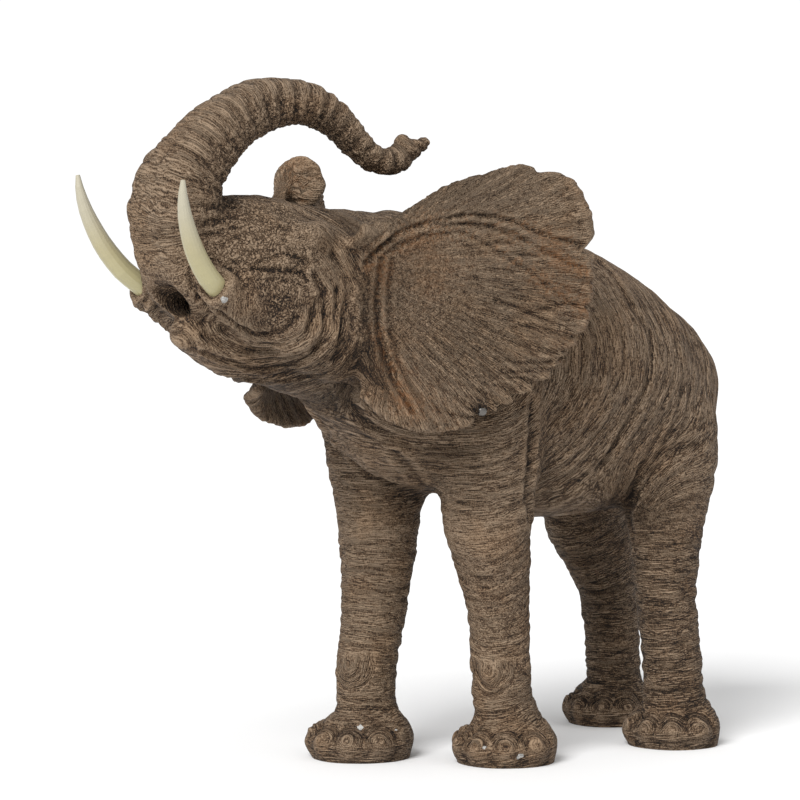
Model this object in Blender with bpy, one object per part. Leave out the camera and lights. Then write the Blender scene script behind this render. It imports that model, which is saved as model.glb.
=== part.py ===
"""Resin elephant figurine: a standing elephant with its trunk raised over its head.

Four pieces: the casting, two tusks glued into sockets beside the mouth, and a steel pin
head under the left ear. The head looks along -X, the left side faces -Y, the feet stand
on z = 0. The figure's forms are shares of its height, and its fits are sizes of their own.
"""

import math

import bmesh
import bpy
import numpy as np
from mathutils import Matrix

# Driving dimensions, in metres
HEIGHT = 0.38  # floor to the top of the trunk's arch
CASTING_TRIANGLES = 8450
TUSK_DIAMETER = 0.0116  # where it leaves the socket
TUSK_SEAT = 0.008  # depth of a tusk in its socket
PIN_DIAMETER = 0.0052
PIN_PROUD = 0.0012
PIN_SEAT = 0.004
SEAT_GAP = 0.0003  # round a piece that is set into the casting
SEAT_SIDES = 20

# Shares of the height
GRAIN = 0.0072  # at which the forms are melted into one skin
EAR_THICKNESS = 0.019

# A station is (x, y, z, half width, half depth), in shares of the height. The width lies
# across the body, and the depth across both the width and the run of the form.
TORSO = (
    (-0.440, 0.000, 0.610, 0.050, 0.050),
    (-0.410, 0.000, 0.612, 0.100, 0.104),
    (-0.340, 0.000, 0.618, 0.138, 0.160),
    (-0.240, 0.000, 0.605, 0.158, 0.195),
    (-0.120, 0.000, 0.585, 0.170, 0.208),
    (0.000, 0.000, 0.558, 0.178, 0.212),
    (0.090, 0.000, 0.538, 0.174, 0.196),
    (0.170, 0.000, 0.520, 0.158, 0.172),
    (0.235, 0.000, 0.512, 0.136, 0.142),
    (0.274, 0.000, 0.506, 0.110, 0.114),
    (0.303, 0.000, 0.502, 0.080, 0.084),
    (0.317, 0.000, 0.500, 0.050, 0.056),
)
HEAD = (
    (-0.250, 0.000, 0.648, 0.080, 0.100),
    (-0.300, 0.000, 0.658, 0.124, 0.152),
    (-0.380, 0.000, 0.678, 0.132, 0.138),
    (-0.460, 0.000, 0.702, 0.130, 0.120),
    (-0.540, 0.000, 0.722, 0.118, 0.110),
    (-0.610, 0.000, 0.736, 0.100, 0.101),
    (-0.660, 0.000, 0.745, 0.078, 0.080),
    (-0.690, 0.000, 0.748, 0.050, 0.050),
)
CHEEK = (
    (-0.400, 0.060, 0.628, 0.040, 0.050),
    (-0.450, 0.074, 0.630, 0.052, 0.062),
    (-0.510, 0.080, 0.640, 0.050, 0.056),
    (-0.560, 0.076, 0.654, 0.040, 0.044),
    (-0.600, 0.070, 0.666, 0.026, 0.030),
)
BROW = (
    (-0.480, 0.092, 0.778, 0.022, 0.026),
    (-0.530, 0.100, 0.772, 0.024, 0.026),
    (-0.580, 0.092, 0.765, 0.018, 0.020),
)
JAW = (
    (-0.400, 0.000, 0.598, 0.070, 0.066),
    (-0.480, 0.000, 0.614, 0.085, 0.062),
    (-0.560, 0.000, 0.614, 0.072, 0.044),
    (-0.620, 0.000, 0.624, 0.052, 0.030),
    (-0.664, 0.000, 0.640, 0.036, 0.022),
    (-0.680, 0.000, 0.646, 0.022, 0.015),
)
MOUTH = (
    (-0.550, 0.000, 0.648, 0.008, 0.005),
    (-0.590, 0.000, 0.664, 0.022, 0.009),
    (-0.640, 0.000, 0.680, 0.030, 0.015),
    (-0.700, 0.000, 0.692, 0.032, 0.019),
    (-0.760, 0.000, 0.698, 0.036, 0.022),
)
TRUNK = (
    (-0.590, 0.000, 0.708, 0.078, 0.076),
    (-0.640, 0.000, 0.728, 0.070, 0.068),
    (-0.664, 0.000, 0.762, 0.064, 0.062),
    (-0.673, 0.000, 0.797, 0.064, 0.062),
    (-0.677, -0.005, 0.828, 0.063, 0.060),
    (-0.670, -0.009, 0.857, 0.059, 0.055),
    (-0.652, -0.014, 0.885, 0.053, 0.049),
    (-0.629, -0.019, 0.911, 0.050, 0.046),
    (-0.596, -0.023, 0.937, 0.046, 0.042),
    (-0.559, -0.028, 0.956, 0.042, 0.039),
    (-0.520, -0.032, 0.9632, 0.038, 0.036),
    (-0.473, -0.037, 0.959, 0.034, 0.030),
    (-0.430, -0.042, 0.940, 0.030, 0.026),
    (-0.400, -0.046, 0.912, 0.026, 0.022),
    (-0.376, -0.051, 0.889, 0.023, 0.020),
    (-0.345, -0.056, 0.878, 0.022, 0.020),
    (-0.318, -0.060, 0.887, 0.022, 0.020),
    (-0.303, -0.063, 0.903, 0.019, 0.018),
)
TRUNK_FINGER = (
    (-0.328, -0.060, 0.886, 0.015, 0.013),
    (-0.319, -0.062, 0.908, 0.015, 0.012),
    (-0.319, -0.064, 0.925, 0.012, 0.009),
)
TRUNK_THUMB = (
    (-0.316, -0.060, 0.888, 0.017, 0.015),
    (-0.294, -0.063, 0.903, 0.016, 0.010),
    (-0.270, -0.066, 0.909, 0.011, 0.008),
)
SOCKET = (
    (-0.585, 0.068, 0.660, 0.036, 0.040),
    (-0.630, 0.077, 0.683, 0.034, 0.036),
    (-0.660, 0.082, 0.699, 0.030, 0.030),
    (-0.676, 0.084, 0.708, 0.026, 0.026),
)
TUSK = (
    (-0.668, 0.083, 0.705, 1.000, 1.000),
    (-0.692, 0.088, 0.724, 0.990, 0.990),
    (-0.719, 0.095, 0.758, 0.900, 0.900),
    (-0.739, 0.102, 0.798, 0.700, 0.700),
    (-0.748, 0.107, 0.830, 0.460, 0.460),
    (-0.750, 0.110, 0.854, 0.200, 0.200),
)
TUSK_RIGHT_SHIFT = (-0.014, 0.000, 0.007)  # the head is turned a little to the left
FRONT_LEG_LEFT = (
    (-0.190, -0.085, 0.640, 0.060, 0.100),
    (-0.190, -0.098, 0.560, 0.080, 0.110),
    (-0.188, -0.100, 0.460, 0.078, 0.092),
    (-0.183, -0.096, 0.370, 0.066, 0.072),
    (-0.168, -0.090, 0.300, 0.058, 0.059),
    (-0.149, -0.084, 0.220, 0.048, 0.049),
    (-0.143, -0.080, 0.160, 0.046, 0.047),
    (-0.138, -0.078, 0.110, 0.046, 0.047),
    (-0.126, -0.078, 0.060, 0.046, 0.047),
)
FRONT_LEG_RIGHT = (
    (-0.215, 0.085, 0.640, 0.060, 0.100),
    (-0.218, 0.098, 0.560, 0.080, 0.110),
    (-0.220, 0.100, 0.460, 0.078, 0.092),
    (-0.223, 0.100, 0.370, 0.064, 0.070),
    (-0.228, 0.098, 0.300, 0.059, 0.060),
    (-0.238, 0.096, 0.220, 0.050, 0.051),
    (-0.247, 0.096, 0.160, 0.047, 0.050),
    (-0.251, 0.097, 0.110, 0.046, 0.048),
    (-0.250, 0.097, 0.060, 0.046, 0.047),
)
HIND_LEG_LEFT = (
    (0.190, -0.070, 0.570, 0.045, 0.060),
    (0.189, -0.088, 0.500, 0.070, 0.085),
    (0.183, -0.102, 0.430, 0.068, 0.084),
    (0.165, -0.113, 0.340, 0.055, 0.068),
    (0.160, -0.118, 0.270, 0.049, 0.054),
    (0.163, -0.120, 0.200, 0.046, 0.048),
    (0.172, -0.121, 0.130, 0.046, 0.048),
    (0.180, -0.122, 0.060, 0.047, 0.049),
)
HIND_LEG_RIGHT = (
    (0.195, 0.070, 0.570, 0.045, 0.060),
    (0.198, 0.088, 0.500, 0.070, 0.090),
    (0.200, 0.102, 0.430, 0.070, 0.090),
    (0.212, 0.106, 0.340, 0.060, 0.084),
    (0.238, 0.106, 0.270, 0.050, 0.064),
    (0.260, 0.106, 0.200, 0.046, 0.050),
    (0.269, 0.106, 0.130, 0.044, 0.046),
    (0.272, 0.106, 0.060, 0.044, 0.045),
)
# A foot is (x, y, radius) of its pad, and the direction that its toes point, from -X
FOOT_FRONT_LEFT = (-0.131, -0.078, 0.076, 12)
FOOT_FRONT_RIGHT = (-0.262, 0.097, 0.078, 0)
FOOT_HIND_LEFT = (0.174, -0.122, 0.071, 8)
FOOT_HIND_RIGHT = (0.259, 0.106, 0.067, 0)
# Rows of a foot from the ankle down: forward set back, height and width, as shares
FOOT_ROWS = (
    (0.30, 0.090, 0.48),
    (0.20, 0.068, 0.64),
    (0.06, 0.052, 0.88),
    (0.00, 0.030, 1.04),
    (0.00, 0.008, 0.98),
    (0.00, -0.030, 0.88),
)
TAIL = (
    (0.270, 0.000, 0.620, 0.026, 0.026),
    (0.306, 0.000, 0.596, 0.022, 0.022),
    (0.332, 0.004, 0.530, 0.016, 0.016),
    (0.334, 0.010, 0.450, 0.013, 0.013),
    (0.322, 0.014, 0.380, 0.012, 0.012),
    (0.314, 0.014, 0.330, 0.015, 0.015),
    (0.308, 0.012, 0.290, 0.006, 0.006),
)
# Ear outlines run from the top of the root, round the back, to the bottom of the root
EAR_ROOT = (
    (-0.452, 0.108, 0.775),
    (-0.440, 0.118, 0.700),
    (-0.436, 0.118, 0.620),
    (-0.436, 0.105, 0.545),
)
EAR_RIM_LEFT = (
    (-0.464, -0.128, 0.788),
    (-0.401, -0.150, 0.805),
    (-0.333, -0.178, 0.849),
    (-0.284, -0.196, 0.866),
    (-0.230, -0.210, 0.880),
    (-0.166, -0.224, 0.870),
    (-0.122, -0.234, 0.838),
    (-0.104, -0.238, 0.773),
    (-0.106, -0.236, 0.725),
    (-0.102, -0.234, 0.679),
    (-0.123, -0.230, 0.629),
    (-0.170, -0.222, 0.579),
    (-0.239, -0.208, 0.538),
    (-0.307, -0.196, 0.508),
    (-0.374, -0.184, 0.497),
    (-0.420, -0.166, 0.512),
    (-0.444, -0.140, 0.538),
)
EAR_RIM_RIGHT = (
    (-0.450, 0.135, 0.784),
    (-0.356, 0.165, 0.792),
    (-0.304, 0.210, 0.838),
    (-0.252, 0.255, 0.866),
    (-0.190, 0.290, 0.860),
    (-0.150, 0.318, 0.825),
    (-0.136, 0.330, 0.760),
    (-0.160, 0.318, 0.690),
    (-0.168, 0.288, 0.620),
    (-0.190, 0.252, 0.555),
    (-0.230, 0.222, 0.508),
    (-0.280, 0.198, 0.486),
    (-0.335, 0.182, 0.486),
    (-0.385, 0.168, 0.505),
    (-0.425, 0.148, 0.545),
)
EAR_CUP = 0.022  # bow of an ear towards its hollow side
# The right ear's top edge curls forward into a disc: centre, radius and half thickness
EAR_CURL = (-0.276, 0.222, 0.851)
EAR_CURL_RADIUS = 0.044
EAR_CURL_HALF = 0.013
EAR_CURL_FACES = (-0.80, -0.60, 0.05)

# Carving. A fold is a row of (x, z) as seen from the side, and its size a half width and depth
TRUNK_RING_PITCH = 0.0255
TRUNK_RING_DEPTH = 0.0042
TRUNK_OUTER_SQUARENESS = 3.2  # the outer face of the trunk is flatter than its inner one
EYE = ((-0.592, 0.739), (-0.578, 0.745), (-0.562, 0.746), (-0.548, 0.741))
EYE_SIZE = (0.0055, 0.0065)
EYE_CREASE = ((-0.602, 0.730), (-0.574, 0.724), (-0.545, 0.727), (-0.520, 0.736))
EYE_CREASE_SIZE = (0.0050, 0.0030)
CHEEK_FOLDS = (
    ((-0.640, 0.640), (-0.600, 0.618), (-0.550, 0.606), (-0.500, 0.612), (-0.462, 0.640)),
    ((-0.610, 0.664), (-0.570, 0.646), (-0.530, 0.642), (-0.500, 0.654), (-0.486, 0.676)),
)
CHEEK_FOLD_SIZE = (0.0085, 0.0065)
NECK_FOLD = ((-0.474, 0.716), (-0.462, 0.660), (-0.458, 0.610), (-0.464, 0.566))
NECK_FOLD_SIZE = (0.0100, 0.0075)
GROIN = (0.095, 0.345)  # where the folds of the flank run together
FLANK_FOLD_STARTS = (
    (-0.075, 0.560),
    (-0.040, 0.640),
    (0.020, 0.690),
    (0.080, 0.690),
    (0.140, 0.665),
    (0.200, 0.625),
    (0.240, 0.560),
)
FLANK_FOLD_SIZE = (0.0090, 0.0050)
FLANK_FOLD_SAG = 0.30  # how far a fold bows back, as a share of its length
FLANK_FOLD_SWEEP = 1.4  # how late a fold turns towards the groin
SHOULDER_FOLDS = (
    ((-0.060, 0.500), (-0.085, 0.440), (-0.105, 0.380), (-0.110, 0.340)),
    ((-0.290, 0.480), (-0.262, 0.440), (-0.246, 0.400), (-0.240, 0.370)),
)
SHOULDER_FOLD_SIZE = (0.0100, 0.0070)
EAR_FOLDS = (
    (
        (-0.445, 0.745),
        (-0.400, 0.770),
        (-0.340, 0.792),
        (-0.270, 0.796),
        (-0.200, 0.775),
        (-0.120, 0.725),
    ),
    (
        (-0.420, 0.748),
        (-0.360, 0.762),
        (-0.300, 0.758),
        (-0.240, 0.732),
        (-0.180, 0.692),
        (-0.135, 0.645),
    ),
)
EAR_FOLD_SIZE = (0.0080, 0.0080)
EAR_LIP = ((-0.428, 0.740), (-0.436, 0.680), (-0.434, 0.620), (-0.410, 0.560), (-0.370, 0.520))
EAR_LIP_SIZE = (0.0090, 0.0075)
EAR_RIB_COUNT = 10
EAR_RIB_DEPTH = 0.0060
LEG_RING_PITCH = 0.026
LEG_RING_DEPTH = 0.0030
KNEES = ((-0.190, -0.086, 0.112), (-0.303, 0.088, 0.116))
KNEE_RADIUS = 0.045
KNEE_PROUD = 0.0080
TOE_ANGLES = (-72, -36, 0, 36, 72)
TOE_HEIGHT = 0.031
TOE_RADIUS = 0.034
TOE_PROUD = 0.0075
TOE_CREASE = 0.0035
PIN_PLACE = (-0.288, -0.200, 0.528)  # under the left ear's lower back edge
PIN_AXIS = (-0.20, -0.95, -0.15)


def smooth_row(rows, count):
    """Catmull-Rom curve through rows, read at count places spaced by the run of the curve."""
    rows = np.asarray(rows, float)
    ends = np.vstack([2 * rows[0] - rows[1], rows, 2 * rows[-1] - rows[-2]])
    t = np.linspace(0, 1, 24, endpoint=False)[:, None]
    fine = [
        0.5
        * (
            2 * start
            + (end - before) * t
            + (2 * before - 5 * start + 4 * end - after) * t**2
            + (3 * start - before - 3 * end + after) * t**3
        )
        for before, start, end, after in zip(ends, ends[1:], ends[2:], ends[3:])
    ]
    fine = np.vstack(fine + [rows[-1:]])
    steps = np.linalg.norm(np.diff(fine[:, :3], axis=0), axis=1)
    run = np.concatenate([[0], np.cumsum(steps)])
    places = np.linspace(0, run[-1], count)
    return np.stack([np.interp(places, run, column) for column in fine.T], axis=1)


def unit(vectors):
    return vectors / np.linalg.norm(vectors, axis=-1, keepdims=True)


def falloff(distance, reach):
    """1 at no distance, easing to 0 at reach."""
    near = np.clip(1 - distance / reach, 0, 1)
    return near * near * (3 - 2 * near)


def mirrored(stations):
    return tuple((x, -y, z, *sizes) for x, y, z, *sizes in stations)


class Line:
    """A form's centre line with its width and depth directions and half sizes, in metres."""

    def __init__(self, stations, rings):
        rows = smooth_row(stations, rings) * HEIGHT
        self.centres = rows[:, :3]
        self.half = rows[:, 3:5]
        run = unit(np.gradient(self.centres, axis=0))
        self.depth = unit(np.cross(run, (0, 1, 0)))
        self.width = unit(np.cross(self.depth, run))
        steps = np.linalg.norm(np.diff(self.centres, axis=0), axis=1)
        self.run = np.concatenate([[0], np.cumsum(steps)])

    def read(self, points):
        """Run along the line, and place across its width and depth in half sizes, of each point."""
        nearest = np.empty(len(points), int)
        for first in range(0, len(points), 4096):
            part = points[first : first + 4096, None] - self.centres
            nearest[first : first + 4096] = np.einsum("ijk,ijk->ij", part, part).argmin(axis=1)
        offset = points - self.centres[nearest]
        along = np.cross(self.width[nearest], self.depth[nearest])
        run = self.run[nearest] + np.einsum("ij,ij->i", offset, along)
        across = np.einsum("ij,ij->i", offset, self.width[nearest]) / self.half[nearest, 0]
        deep = np.einsum("ij,ij->i", offset, self.depth[nearest]) / self.half[nearest, 1]
        return run, across, deep


class Skin:
    """Closed shells gathered as points and faces, in metres."""

    def __init__(self):
        self.points = []
        self.faces = []

    def add(self, points, faces):
        first = len(self.points)
        self.points.extend(np.asarray(points, float).tolist())
        self.faces.extend([[first + i for i in face] for face in faces])

    def rings(self, ring, ends):
        """Walls between rings of points, closed to a point at each end."""
        rings, sides = ring.shape[:2]
        points = np.vstack([ring.reshape(-1, 3), ends])
        faces = []
        for i in range(rings - 1):
            for k in range(sides):
                j = (k + 1) % sides
                a, b = i * sides, (i + 1) * sides
                faces.append((a + k, a + j, b + j, b + k))
        last = (rings - 1) * sides
        for k in range(sides):
            j = (k + 1) % sides
            faces.append((rings * sides, j, k))
            faces.append((rings * sides + 1, last + k, last + j))
        self.add(points, faces)

    def tube(self, stations, rings=40, sides=28, squareness=2.0, outer=None):
        """Oval sections along the stations. outer is the squareness of the +depth side alone."""
        line = Line(stations, rings)
        angle = np.arange(sides) * math.tau / sides
        power = 2 / np.where(np.sin(angle) > 0, outer or squareness, squareness)
        c = np.sign(np.cos(angle)) * np.abs(np.cos(angle)) ** power
        s = np.sign(np.sin(angle)) * np.abs(np.sin(angle)) ** power
        ring = (
            line.centres[:, None]
            + line.width[:, None] * (line.half[:, :1] * c)[..., None]
            + line.depth[:, None] * (line.half[:, 1:] * s)[..., None]
        )
        self.rings(ring, line.centres[[0, -1]])

    def leaf(self, grid, out, thickness):
        """A sheet of the given thickness over a grid of points."""
        rows, columns = grid.shape[:2]
        half = out * thickness / 2
        points = np.vstack([(grid + half).reshape(-1, 3), (grid - half).reshape(-1, 3)])
        size = rows * columns
        faces = []
        for i in range(rows - 1):
            for k in range(columns - 1):
                a = i * columns + k
                quad = (a, a + 1, a + columns + 1, a + columns)
                faces.append(quad)
                faces.append(tuple(size + n for n in reversed(quad)))
        edge = list(range(columns))
        edge += [i * columns + columns - 1 for i in range(1, rows)]
        edge += [(rows - 1) * columns + k for k in range(columns - 2, -1, -1)]
        edge += [i * columns for i in range(rows - 2, 0, -1)]
        for a, b in zip(edge, edge[1:] + edge[:1]):
            faces.append((b, a, size + a, size + b))
        self.add(points, faces)

    def mesh(self, name):
        mesh = bpy.data.meshes.new(name)
        mesh.from_pydata(self.points, [], self.faces)
        shape = bmesh.new()
        shape.from_mesh(mesh)
        bmesh.ops.recalc_face_normals(shape, faces=shape.faces)
        shape.to_mesh(mesh)
        shape.free()
        return mesh


class Ear:
    """A fan ruled between the root line and the rim, bowed towards its hollow front."""

    def __init__(self, root, rim, columns=72, rows=26):
        root = smooth_row(root, columns) * HEIGHT
        rim = smooth_row(rim, columns) * HEIGHT
        share = np.linspace(0, 1, rows)[:, None, None]
        grid = root * (1 - share) + rim * share
        middle = columns // 2
        out = unit(np.cross(rim[-1] - rim[0], rim[middle] - root[middle]))
        self.out = out * np.sign(out[1] * root[0, 1])
        self.grid = grid + self.out * (EAR_CUP * HEIGHT) * np.sin(share * math.pi)

    def read(self, points):
        """Share from top to bottom round the fan, share from root to rim, and distance."""
        flat = self.grid.reshape(-1, 3)
        nearest = np.empty(len(points), int)
        for first in range(0, len(points), 1024):
            part = points[first : first + 1024, None] - flat
            nearest[first : first + 1024] = np.einsum("ijk,ijk->ij", part, part).argmin(axis=1)
        rows, columns = self.grid.shape[:2]
        distance = np.linalg.norm(points - flat[nearest], axis=1)
        return (nearest % columns) / (columns - 1), (nearest // columns) / (rows - 1), distance


def foot_rings(foot, rings=24, sides=36):
    """The pad of a foot: rows of ovals that widen from the ankle to the toes."""
    x, y, radius, turn = foot
    forward = np.array([-math.cos(math.radians(turn)), -math.sin(math.radians(turn)), 0])
    rows = smooth_row([(back, 0, z, wide) for back, z, wide in FOOT_ROWS], rings)
    angle = np.arange(sides) * math.tau / sides
    centres = np.stack(
        [
            x - forward[0] * rows[:, 0] * radius,
            y - forward[1] * rows[:, 0] * radius,
            rows[:, 2],
        ],
        axis=1,
    )
    around = np.stack([np.cos(angle), np.sin(angle), 0 * angle], axis=1)
    ring = centres[:, None] + around * (rows[:, 3, None, None] * radius)
    return ring * HEIGHT, centres[[0, -1]] * HEIGHT


def gather_forms(ears):
    skin = Skin()
    skin.tube(TORSO, squareness=2.2)
    skin.tube(HEAD, squareness=2.2)
    skin.tube(JAW)
    skin.tube(TRUNK, rings=90, sides=36, squareness=2.1, outer=TRUNK_OUTER_SQUARENESS)
    skin.tube(TRUNK_FINGER, rings=12, sides=16)
    skin.tube(TRUNK_THUMB, rings=12, sides=16)
    for pair in (SOCKET, CHEEK, BROW):
        skin.tube(pair, rings=16)
        skin.tube(mirrored(pair), rings=16)
    for leg in (FRONT_LEG_LEFT, FRONT_LEG_RIGHT, HIND_LEG_LEFT, HIND_LEG_RIGHT):
        skin.tube(leg)
    for foot in (FOOT_FRONT_LEFT, FOOT_FRONT_RIGHT, FOOT_HIND_LEFT, FOOT_HIND_RIGHT):
        skin.rings(*foot_rings(foot))
    for ear in ears:
        skin.leaf(ear.grid, ear.out, EAR_THICKNESS * HEIGHT)
    skin.rings(*curl_rings())
    skin.tube(TAIL, sides=16)
    return skin


def circle(axis, sides):
    """Directions round an axis, one to each side of a round form."""
    across = unit(np.cross(axis, (0, 0, 1)))
    rise = np.cross(across, axis)
    angle = np.arange(sides) * math.tau / sides
    return np.cos(angle)[:, None] * across + np.sin(angle)[:, None] * rise


def curl_rings():
    """The right ear's curled top edge: a thick disc that faces forward and in."""
    face = unit(np.array(EAR_CURL_FACES))
    around = circle(face, 32)
    centre = np.array(EAR_CURL)
    rows = []
    for t in np.linspace(0, math.pi, 9)[1:-1]:
        out = centre + face * EAR_CURL_HALF * math.cos(t)
        rows.append(out + around * EAR_CURL_RADIUS * math.sin(t) ** 0.4)
    ends = centre + face * EAR_CURL_HALF * np.array([[1], [-1]])
    return np.array(rows) * HEIGHT, ends * HEIGHT


def baked(obj):
    """Works the object's modifiers into its mesh."""
    graph = bpy.context.evaluated_depsgraph_get()
    mesh = bpy.data.meshes.new_from_object(obj.evaluated_get(graph))
    obj.modifiers.clear()
    obj.data = mesh
    return obj


def new_object(name, mesh):
    obj = bpy.data.objects.new(name, mesh)
    bpy.context.collection.objects.link(obj)
    return obj


def cutter(name, skin):
    """A hidden shape that is cut out of the casting."""
    obj = new_object(name, skin.mesh(name))
    obj.hide_render = True
    obj.display_type = "WIRE"
    return obj


def cut(obj, tool):
    boolean = obj.modifiers.new(tool.name, "BOOLEAN")
    boolean.operation = "DIFFERENCE"
    boolean.solver = "EXACT"
    boolean.object = tool


class Carving:
    """Moves the points of a skin in and out along its normals."""

    def __init__(self, mesh):
        self.mesh = mesh
        count = len(mesh.vertices)
        points = np.empty(count * 3, np.float32)
        normals = np.empty(count * 3, np.float32)
        mesh.vertices.foreach_get("co", points)
        mesh.vertices.foreach_get("normal", normals)
        self.points = points.reshape(-1, 3).astype(float)
        self.normals = normals.reshape(-1, 3).astype(float)
        self.rise = np.zeros(count)

    def fold(self, path, size, side):
        """A groove along a row of (x, z), with low rolls beside it, on one side of the body."""
        half_width, depth = size
        row = smooth_row([(x, 0, z) for x, z in path], 40) * HEIGHT
        flat = self.points[:, [0, 2]]
        gap = np.full(len(flat), np.inf)
        for place in row[:, [0, 2]]:
            gap = np.minimum(gap, np.hypot(*(flat - place).T))
        gap = gap / (half_width * HEIGHT)
        facing = np.clip(self.normals[:, 1] * side * 2, 0, 1)
        facing *= self.points[:, 1] * side > 0.02 * HEIGHT
        roll = 0.45 * np.exp(-((gap - 1.9) ** 2) / 0.5)
        self.rise += depth * facing * (roll - np.exp(-(gap**2)))

    def bump(self, place, radius, height):
        gap = np.linalg.norm(self.points - np.array(place) * HEIGHT, axis=1)
        self.rise += height * falloff(gap, radius * HEIGHT)

    def mound(self, place, radius, height, crease):
        """A rounded rise with a crease round its foot."""
        gap = np.linalg.norm(self.points - np.array(place) * HEIGHT, axis=1) / (radius * HEIGHT)
        self.rise += height * falloff(gap, 1) - crease * np.exp(-(((gap - 0.95) / 0.22) ** 2))

    def finish(self):
        moved = self.points + self.normals * (self.rise * HEIGHT)[:, None]
        self.mesh.vertices.foreach_set("co", moved.astype(np.float32).ravel())
        self.mesh.update()


def carve_trunk(carving):
    """Lumped rings round the trunk, broken along its two outer edges."""
    line = Line(TRUNK, 240)
    run, across, deep = line.read(carving.points)
    level = np.hypot(across, deep)
    start, end = 0.09 * HEIGHT, line.run[-1] - 0.03 * HEIGHT
    inside = falloff(np.maximum(start - run, 0), 0.04 * HEIGHT) * (level < 1.5) * (run < end)
    side = np.arctan2(across, deep)
    wander = 0.35 * np.sin(3 * side) + 0.25 * np.sin(7 * run / HEIGHT)
    wave = np.cos(run / (TRUNK_RING_PITCH * HEIGHT) * math.tau + wander)
    ring = np.abs(wave) ** 0.7 * np.sign(wave)
    size = 0.45 + 0.55 * np.exp(-((np.abs(across) - 0.95) ** 2) / 0.08)
    carving.rise += TRUNK_RING_DEPTH * 0.5 * ring * size * inside


def carve_ear(carving, ear, side):
    """Ribs that fan from the root to a scalloped edge."""
    near = np.flatnonzero(carving.points[:, 1] * side > 0.10 * HEIGHT)
    turn, share, distance = ear.read(carving.points[near])
    on_leaf = distance < 0.9 * EAR_THICKNESS * HEIGHT
    ribs = np.cos(turn * EAR_RIB_COUNT * math.tau + 1.5 * np.sin(share * 3))
    strength = np.clip((share - 0.35) / 0.5, 0, 1) * np.clip((turn - 0.3) / 0.2, 0, 1)
    front = np.clip(carving.normals[near] @ ear.out * 2, 0, 1)
    carving.rise[near] += EAR_RIB_DEPTH * 0.5 * ribs * strength * on_leaf * (0.4 + 0.6 * front)


def carve_foot(carving, foot, toes):
    x, y, radius, turn = foot
    for toe in toes:
        angle = math.radians(turn + toe)
        place = (x - math.cos(angle) * radius * 0.98, y - math.sin(angle) * radius * 0.98, TOE_HEIGHT)
        carving.mound(place, TOE_RADIUS, TOE_PROUD, TOE_CREASE)


def flank_fold(start):
    """A fold that falls from start and sweeps round to the groin."""
    x0, z0 = start
    x1, z1 = GROIN
    path = []
    for t in (0, 0.25, 0.5, 0.75, 0.92):
        bow = FLANK_FOLD_SAG * math.sin(t * math.pi) * (z0 - z1)
        x = x0 + (x1 - x0) * t**FLANK_FOLD_SWEEP + bow * (0.25 + x0)
        path.append((x, z0 + (z1 - z0) * t))
    return path


def carve_leg(carving, stations):
    """Rings of loose skin round a leg."""
    line = Line(stations, 120)
    run, across, deep = line.read(carving.points)
    level = np.hypot(across, deep)
    low = falloff(np.maximum(carving.points[:, 2] / HEIGHT - 0.30, 0), 0.10)
    low = low * falloff(np.maximum(0.075 - carving.points[:, 2] / HEIGHT, 0), 0.02)
    around = np.arctan2(across, deep)
    wave = np.cos(run / (LEG_RING_PITCH * HEIGHT) * math.tau + 0.8 * np.sin(2 * around))
    carving.rise += LEG_RING_DEPTH * 0.5 * wave * low * (level < 1.4)


def carve(casting, ears):
    carving = Carving(casting.data)
    carve_trunk(carving)
    for ear, side in zip(ears, (-1, 1)):
        carve_ear(carving, ear, side)
    for side in (-1, 1):
        for path in EAR_FOLDS:
            carving.fold(path, EAR_FOLD_SIZE, side)
        carving.fold(EAR_LIP, EAR_LIP_SIZE, side)
        carving.fold(EYE, EYE_SIZE, side)
        carving.fold(EYE_CREASE, EYE_CREASE_SIZE, side)
        for path in CHEEK_FOLDS:
            carving.fold(path, CHEEK_FOLD_SIZE, side)
        carving.fold(NECK_FOLD, NECK_FOLD_SIZE, side)
        for start in FLANK_FOLD_STARTS:
            carving.fold(flank_fold(start), FLANK_FOLD_SIZE, side)
        for path in SHOULDER_FOLDS:
            carving.fold(path, SHOULDER_FOLD_SIZE, side)
    for leg in (FRONT_LEG_LEFT, FRONT_LEG_RIGHT, HIND_LEG_LEFT, HIND_LEG_RIGHT):
        carve_leg(carving, leg)
    for knee in KNEES:
        carving.bump(knee, KNEE_RADIUS, KNEE_PROUD)
    for foot in (FOOT_FRONT_LEFT, FOOT_FRONT_RIGHT):
        carve_foot(carving, foot, TOE_ANGLES)
    for foot in (FOOT_HIND_LEFT, FOOT_HIND_RIGHT):
        carve_foot(carving, foot, TOE_ANGLES[1:])
    carving.finish()


def floor_cut(mesh):
    """Cuts the legs off level at the floor and closes the soles flat."""
    shape = bmesh.new()
    shape.from_mesh(mesh)
    geometry = shape.verts[:] + shape.edges[:] + shape.faces[:]
    cut_edges = bmesh.ops.bisect_plane(
        shape, geom=geometry, plane_co=(0, 0, 0), plane_no=(0, 0, -1), clear_outer=True
    )["geom_cut"]
    edges = [item for item in cut_edges if isinstance(item, bmesh.types.BMEdge)]
    bmesh.ops.holes_fill(shape, edges=edges, sides=0)
    bmesh.ops.triangulate(shape, faces=shape.faces)
    bmesh.ops.recalc_face_normals(shape, faces=shape.faces)
    shape.to_mesh(mesh)
    shape.free()


def melt(obj):
    """Makes one even skin of whatever the object's shells enclose."""
    remesh = obj.modifiers.new("melt", "REMESH")
    remesh.mode = "VOXEL"
    remesh.voxel_size = GRAIN * HEIGHT


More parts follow.
